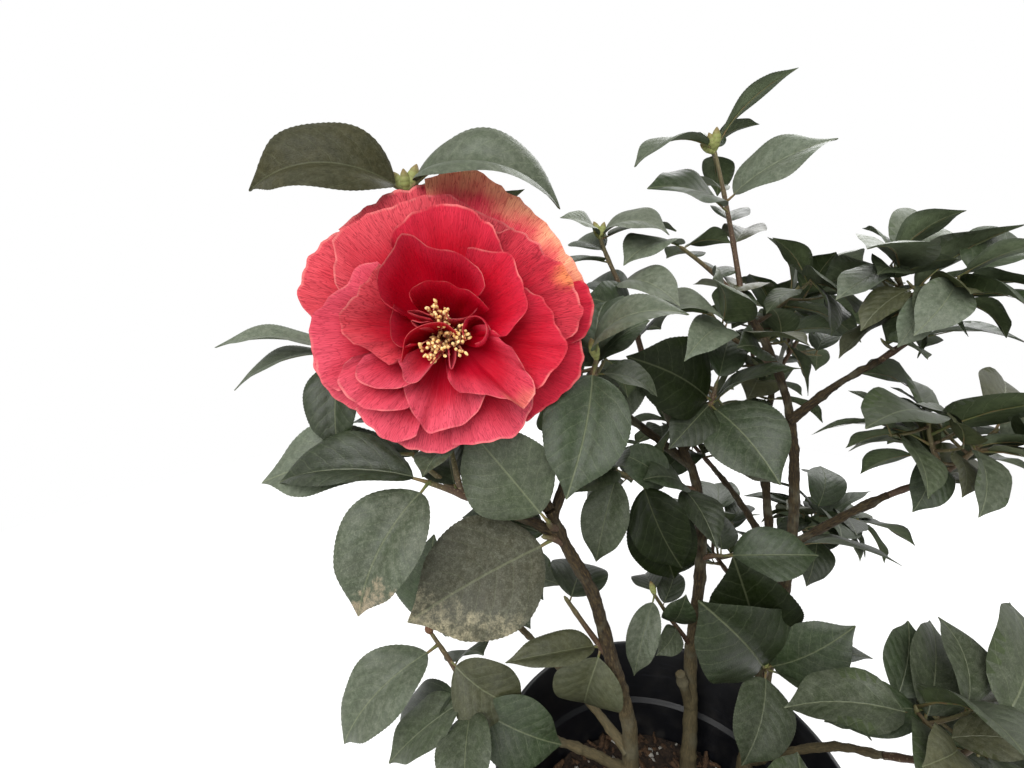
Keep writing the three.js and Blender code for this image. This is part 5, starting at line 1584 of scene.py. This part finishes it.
def leaf_look(name, gloss, veined, back=False, stain=None):
    """One face of a leaf. Veined is how much its veins stand out in colour."""
    look = Look(name, Specular_IOR_Level=gloss)
    place, across, along, dusty = look.mark("leaf_place")
    tint = look.node("Attribute", {"attribute_name": "tint"}, output="Color")
    where = look.place()
    wander = look.noise(place, 2.6, detail=2.0)
    lean = (abs(across) + 0.02) ** 1.25 * 0.32
    chain = (along - lean + wander * 0.10) * 7.5 + across.above(-0.01, 0.01) * 0.5
    quilt = abs(chain.maths("FRACT") - 0.5)
    swell = quilt.above(0.0, 0.5)
    ribs = quilt.above(0.44, 0.5)
    midrib = 1.0 - abs(across).above(0.006, 0.032)
    net = look.node("TexVoronoi", {"feature": "DISTANCE_TO_EDGE"}, {
        "Vector": look.stretch(place, (24, 40, 9)), "Scale": 1.0,
    }).above(0.0, 0.16)
    cloud = look.noise(where, 80, detail=6.0, roughness=0.66)
    patch = look.noise(where, 340, detail=7.0, roughness=0.78)
    speck = look.noise(where, 1500, detail=4.0, roughness=0.7)
    film = (cloud.above(0.3, 0.8) * 0.3 + patch.above(0.44, 0.66) * 0.34 + 0.07
            + speck.above(0.5, 0.72) * 0.4) * dusty * (net * 0.35 + 0.75)
    tone = look.mix(cloud.above(0.35, 0.6) * 0.5, tint, paint(170, 180, 156), "MULTIPLY")
    tone = look.mix((1.0 - patch.above(0.34, 0.56)) * 0.5, tone, paint(160, 164, 146), "MULTIPLY")
    tone = look.mix(film * (0.25 if back else 0.72), tone, paint(148, 150, 134))
    tone = look.mix(ribs * (veined * 0.3), tone, paint(140, 150, 112))
    tone = look.mix(midrib * veined, tone, paint(140, 146, 112))
    if stain:
        colour, sideways, lengthways, first, last = stain
        worn = across * sideways + along * lengthways + (cloud - 0.5) * 1.1 + (patch - 0.5) * 0.5
        crust = patch.above(0.42, 0.56) * 0.35 + speck.above(0.4, 0.6) * 0.3 + 0.08
        tone = look.mix(worn.above(first, last) * crust, tone, colour)
    relief = net * 0.1 + cloud * 0.5 + patch * 0.3 + speck * 0.06
    relief = (relief + ribs * 0.5 + midrib * 0.5) if back else (
        relief - swell * 0.4 - ribs * 0.1 - midrib * 0.5)
    return look.set(
        Base_Color=tone,
        Roughness=(0.55 if back else 0.34) + film * 0.4 + patch * 0.12,
        Normal=look.bump(relief, 0.5, 0.7),
    )


TOP, WORN_TOP, TIPPED_TOP, MATTE_TOP, UNDER, STALK = range(6)
UPPER_FACES = {"weathered": WORN_TOP, "tipped": TIPPED_TOP, "shade": MATTE_TOP, "dark": MATTE_TOP}
# A stain: its colour, how it leans to one side and to the tip, and where it starts and is full
LEAF_LOOKS = [
    leaf_look("leaf_top", 0.34, 0.28),
    leaf_look("leaf_worn_top", 0.2, 0.22, stain=(paint(166, 156, 126), -0.3, 0.8, 0.55, 0.9)),
    leaf_look("leaf_tipped_top", 0.3, 0.25, stain=(paint(160, 142, 116), -0.15, 1.0, 0.76, 0.96)),
    leaf_look("leaf_matte_top", 0.1, 0.13),
    leaf_look("leaf_under", 0.2, 0.45, back=True),
    plain_look("leaf_stalk", paint(96, 104, 60), paint(112, 92, 62), 260, 0.5, 0.2),
]
UNDER_TINT = np.array(paint(98, 112, 72)[:3])
print("leaf tones:", len(TONES), "leaf finishes:", len(LEAF_LOOKS))

# %% [markdown]
# The leaves of neighbouring masses join into one mesh, so that there are seven pieces and not
# hundreds. Leaves that are seen from near get a fine grid with teeth, and the others a plain one.

# %% Leaf pieces
NEAR_GRID, FAR_GRID, LEAF_THICKNESS = (64, 8), (14, 4), 0.42
NEAR_STALK, FAR_STALK = (14, 6), (4, 4)  # the steps of a stalk and its sides


def leaf_into(heap, grown):
    one, show = grown["one"], grown["one"]["show"]
    rows, columns = NEAR_GRID if show else FAR_GRID
    draw = draws_from(grown["seed"])
    grid, marks = blade_grid(grown["start"], one, rows, columns, draw)
    colour, dust = TONES[one["tone"]]
    tint = np.array(colour[:3]) * (0.85 + 0.3 * next(draw)) * (1, 0.97 + 0.06 * next(draw), 1)
    marks[..., 2] = dust * (0.8 + 0.4 * next(draw))
    points, faces = sheet(grid, LEAF_THICKNESS)
    look = np.repeat([UPPER_FACES.get(one["tone"], TOP), UNDER], len(faces) // 2)
    back = tint * 0.6 + UNDER_TINT * 0.4
    front_points = grid.shape[0] * grid.shape[1]
    tints = np.where((np.arange(len(points)) < front_points)[:, None], tint, back)
    heap.add(points, faces, doubled(marks), look, tints)
    steps, sides = NEAR_STALK if show else FAR_STALK
    path, radius = stalk_line(grown["start"], one, steps)
    points, faces = rod(path, radius, sides)
    heap.add(points, faces, [0, 0.3, 0.5], STALK, tint)


LEAF_PIECES = {
    "bloom_leaves": ["bloom_shoot_foliage", "fork_spur", "left_bough_foliage", "inner_foliage"],
    "left_leaves": ["main_stem_spur", "lower_spur", "lower_left_foliage"],
    "middle_leaves": ["upper_middle_foliage", "centre_foliage", "second_stem_foliage",
                      "second_stem_low_foliage", "second_stem_spur"],
    "right_leaves": ["right_low_foliage", "right_stem_spur", "right_shoot_foliage",
                     "top_right_foliage", "upper_right_foliage"],
    "back_left_leaves": ["back_left_foliage", "left_back_foliage", "front_foliage"],
    "back_leaves": ["back_top_foliage", "back_upper_foliage", "back_middle_foliage",
                    "back_outer_foliage", "back_low_foliage"],
    "right_outer_leaves": ["right_outer_foliage", "right_upper_foliage", "right_front_foliage"],
}
for name, masses in LEAF_PIECES.items():
    heap = Heap()
    for grown in GROWN:
        if grown["mass"] in masses:
            leaf_into(heap, grown)
    heap.piece(name, "leaf_place", LEAF_LOOKS, "foliage", *masses)

# %% [markdown]
# ## Twigs and buds
# Young camellia twigs are smooth and brown, and green towards the tip, with a slight swelling at
# each leaf and pale dots.

# %% Twigs
TWIG_SIDES = 10
twigs = Heap()
for path, root, tip, age_root, age_tip in RODS:
    share = np.linspace(0, 1, len(path))
    knots = 0.16 * np.maximum(0, np.sin(share * len(path) * 2 / NODE_SPACING * math.pi)) ** 6
    radius = (root + (tip - root) * share) * (1 + knots)
    radius[-1] *= 0.55
    points, faces = rod(path, radius, TWIG_SIDES)
    age = np.repeat(age_root + (age_tip - age_root) * share, TWIG_SIDES)
    twigs.add(points, faces, marks_of(age, 0, 0))

young = Look("young_bark", Specular_IOR_Level=0.4)
_, age, *_ = young.mark("twig_place")
streak = young.noise(young.stretch(young.place(), (700, 700, 160)), 1.0, detail=5.0)
dots = young.noise(young.place(), 900, detail=2.0).above(0.62, 0.7)
tone = young.mix(age.above(0.45, 1.0), paint(80, 60, 44), paint(98, 96, 60))
tone = young.mix(streak.above(0.4, 0.75) * 0.55, tone, paint(56, 38, 29))
twigs.piece("twigs", "twig_place", [young.set(
    Base_Color=young.mix(dots * 0.6, tone, paint(158, 142, 108)),
    Roughness=0.5 + streak * 0.25,
    Normal=young.bump(streak * 0.7 + dots * 0.4, 0.6, 0.4),
)], "bark")

# %% [markdown]
# Buds are egg-shaped, with overlapping scales and a brown tip. A bud is a rod that swells and
# narrows again. Five rings of scales step its outline, and the steps also carry the colour: green
# at a scale's foot and browner at its edge.

# %% Buds
BUD_RINGS, BUD_SIDES, SCALE_ROWS = 22, 16, 5
buds = Heap()
for place, one in BUDS:
    direction, length = direction_of(one["heading"], one["rise"]), one["length"]
    share = np.linspace(0, 1, BUD_RINGS)
    girth = length * one["girth"] * np.sin(math.pi * np.clip(share * 0.93 + 0.06, 0, 1)) ** 0.75
    path = place + np.outer(share * length - 0.6, direction)
    points, faces = rod(path, girth, BUD_SIDES)
    rings = points.reshape(BUD_RINGS, BUD_SIDES, 3)
    spin = np.arange(BUD_SIDES) * 2 * math.pi / BUD_SIDES
    scales = np.sin(spin[None, :] * 2 + np.floor(share * SCALE_ROWS)[:, None] * 1.7)
    step = (share * SCALE_ROWS % 1)[:, None]
    swell = (1 + 0.10 * (1 - step) * (0.4 + 0.6 * np.abs(scales)))[..., None]
    rings = path[:, None] + (rings - path[:, None]) * swell
    marks = marks_of(share[:, None], step, one["ripe"] + 0 * scales)
    buds.add(rings.reshape(-1, 3), faces, marks.reshape(-1, 3))

scale = Look("bud_scale", Specular_IOR_Level=0.35)
_, along, step, ripe = scale.mark("bud_place")
fine = scale.noise(scale.place(), 800, detail=4.0)
tone = scale.mix(step.above(0.5, 1.0) * 0.6, paint(128, 134, 76), paint(96, 92, 52))
tone = scale.mix(along.above(0.62, 0.95) * 0.7, tone, paint(110, 78, 50))
tone = scale.mix(ripe, tone, paint(92, 50, 38))
buds.piece("buds", "bud_place", [scale.set(
    Base_Color=scale.mix(fine.above(0.5, 0.7) * 0.3, tone, paint(160, 150, 104)),
    Roughness=0.55 + fine * 0.2,
    Normal=scale.bump(fine, 0.5, 0.2),
)], "foliage")
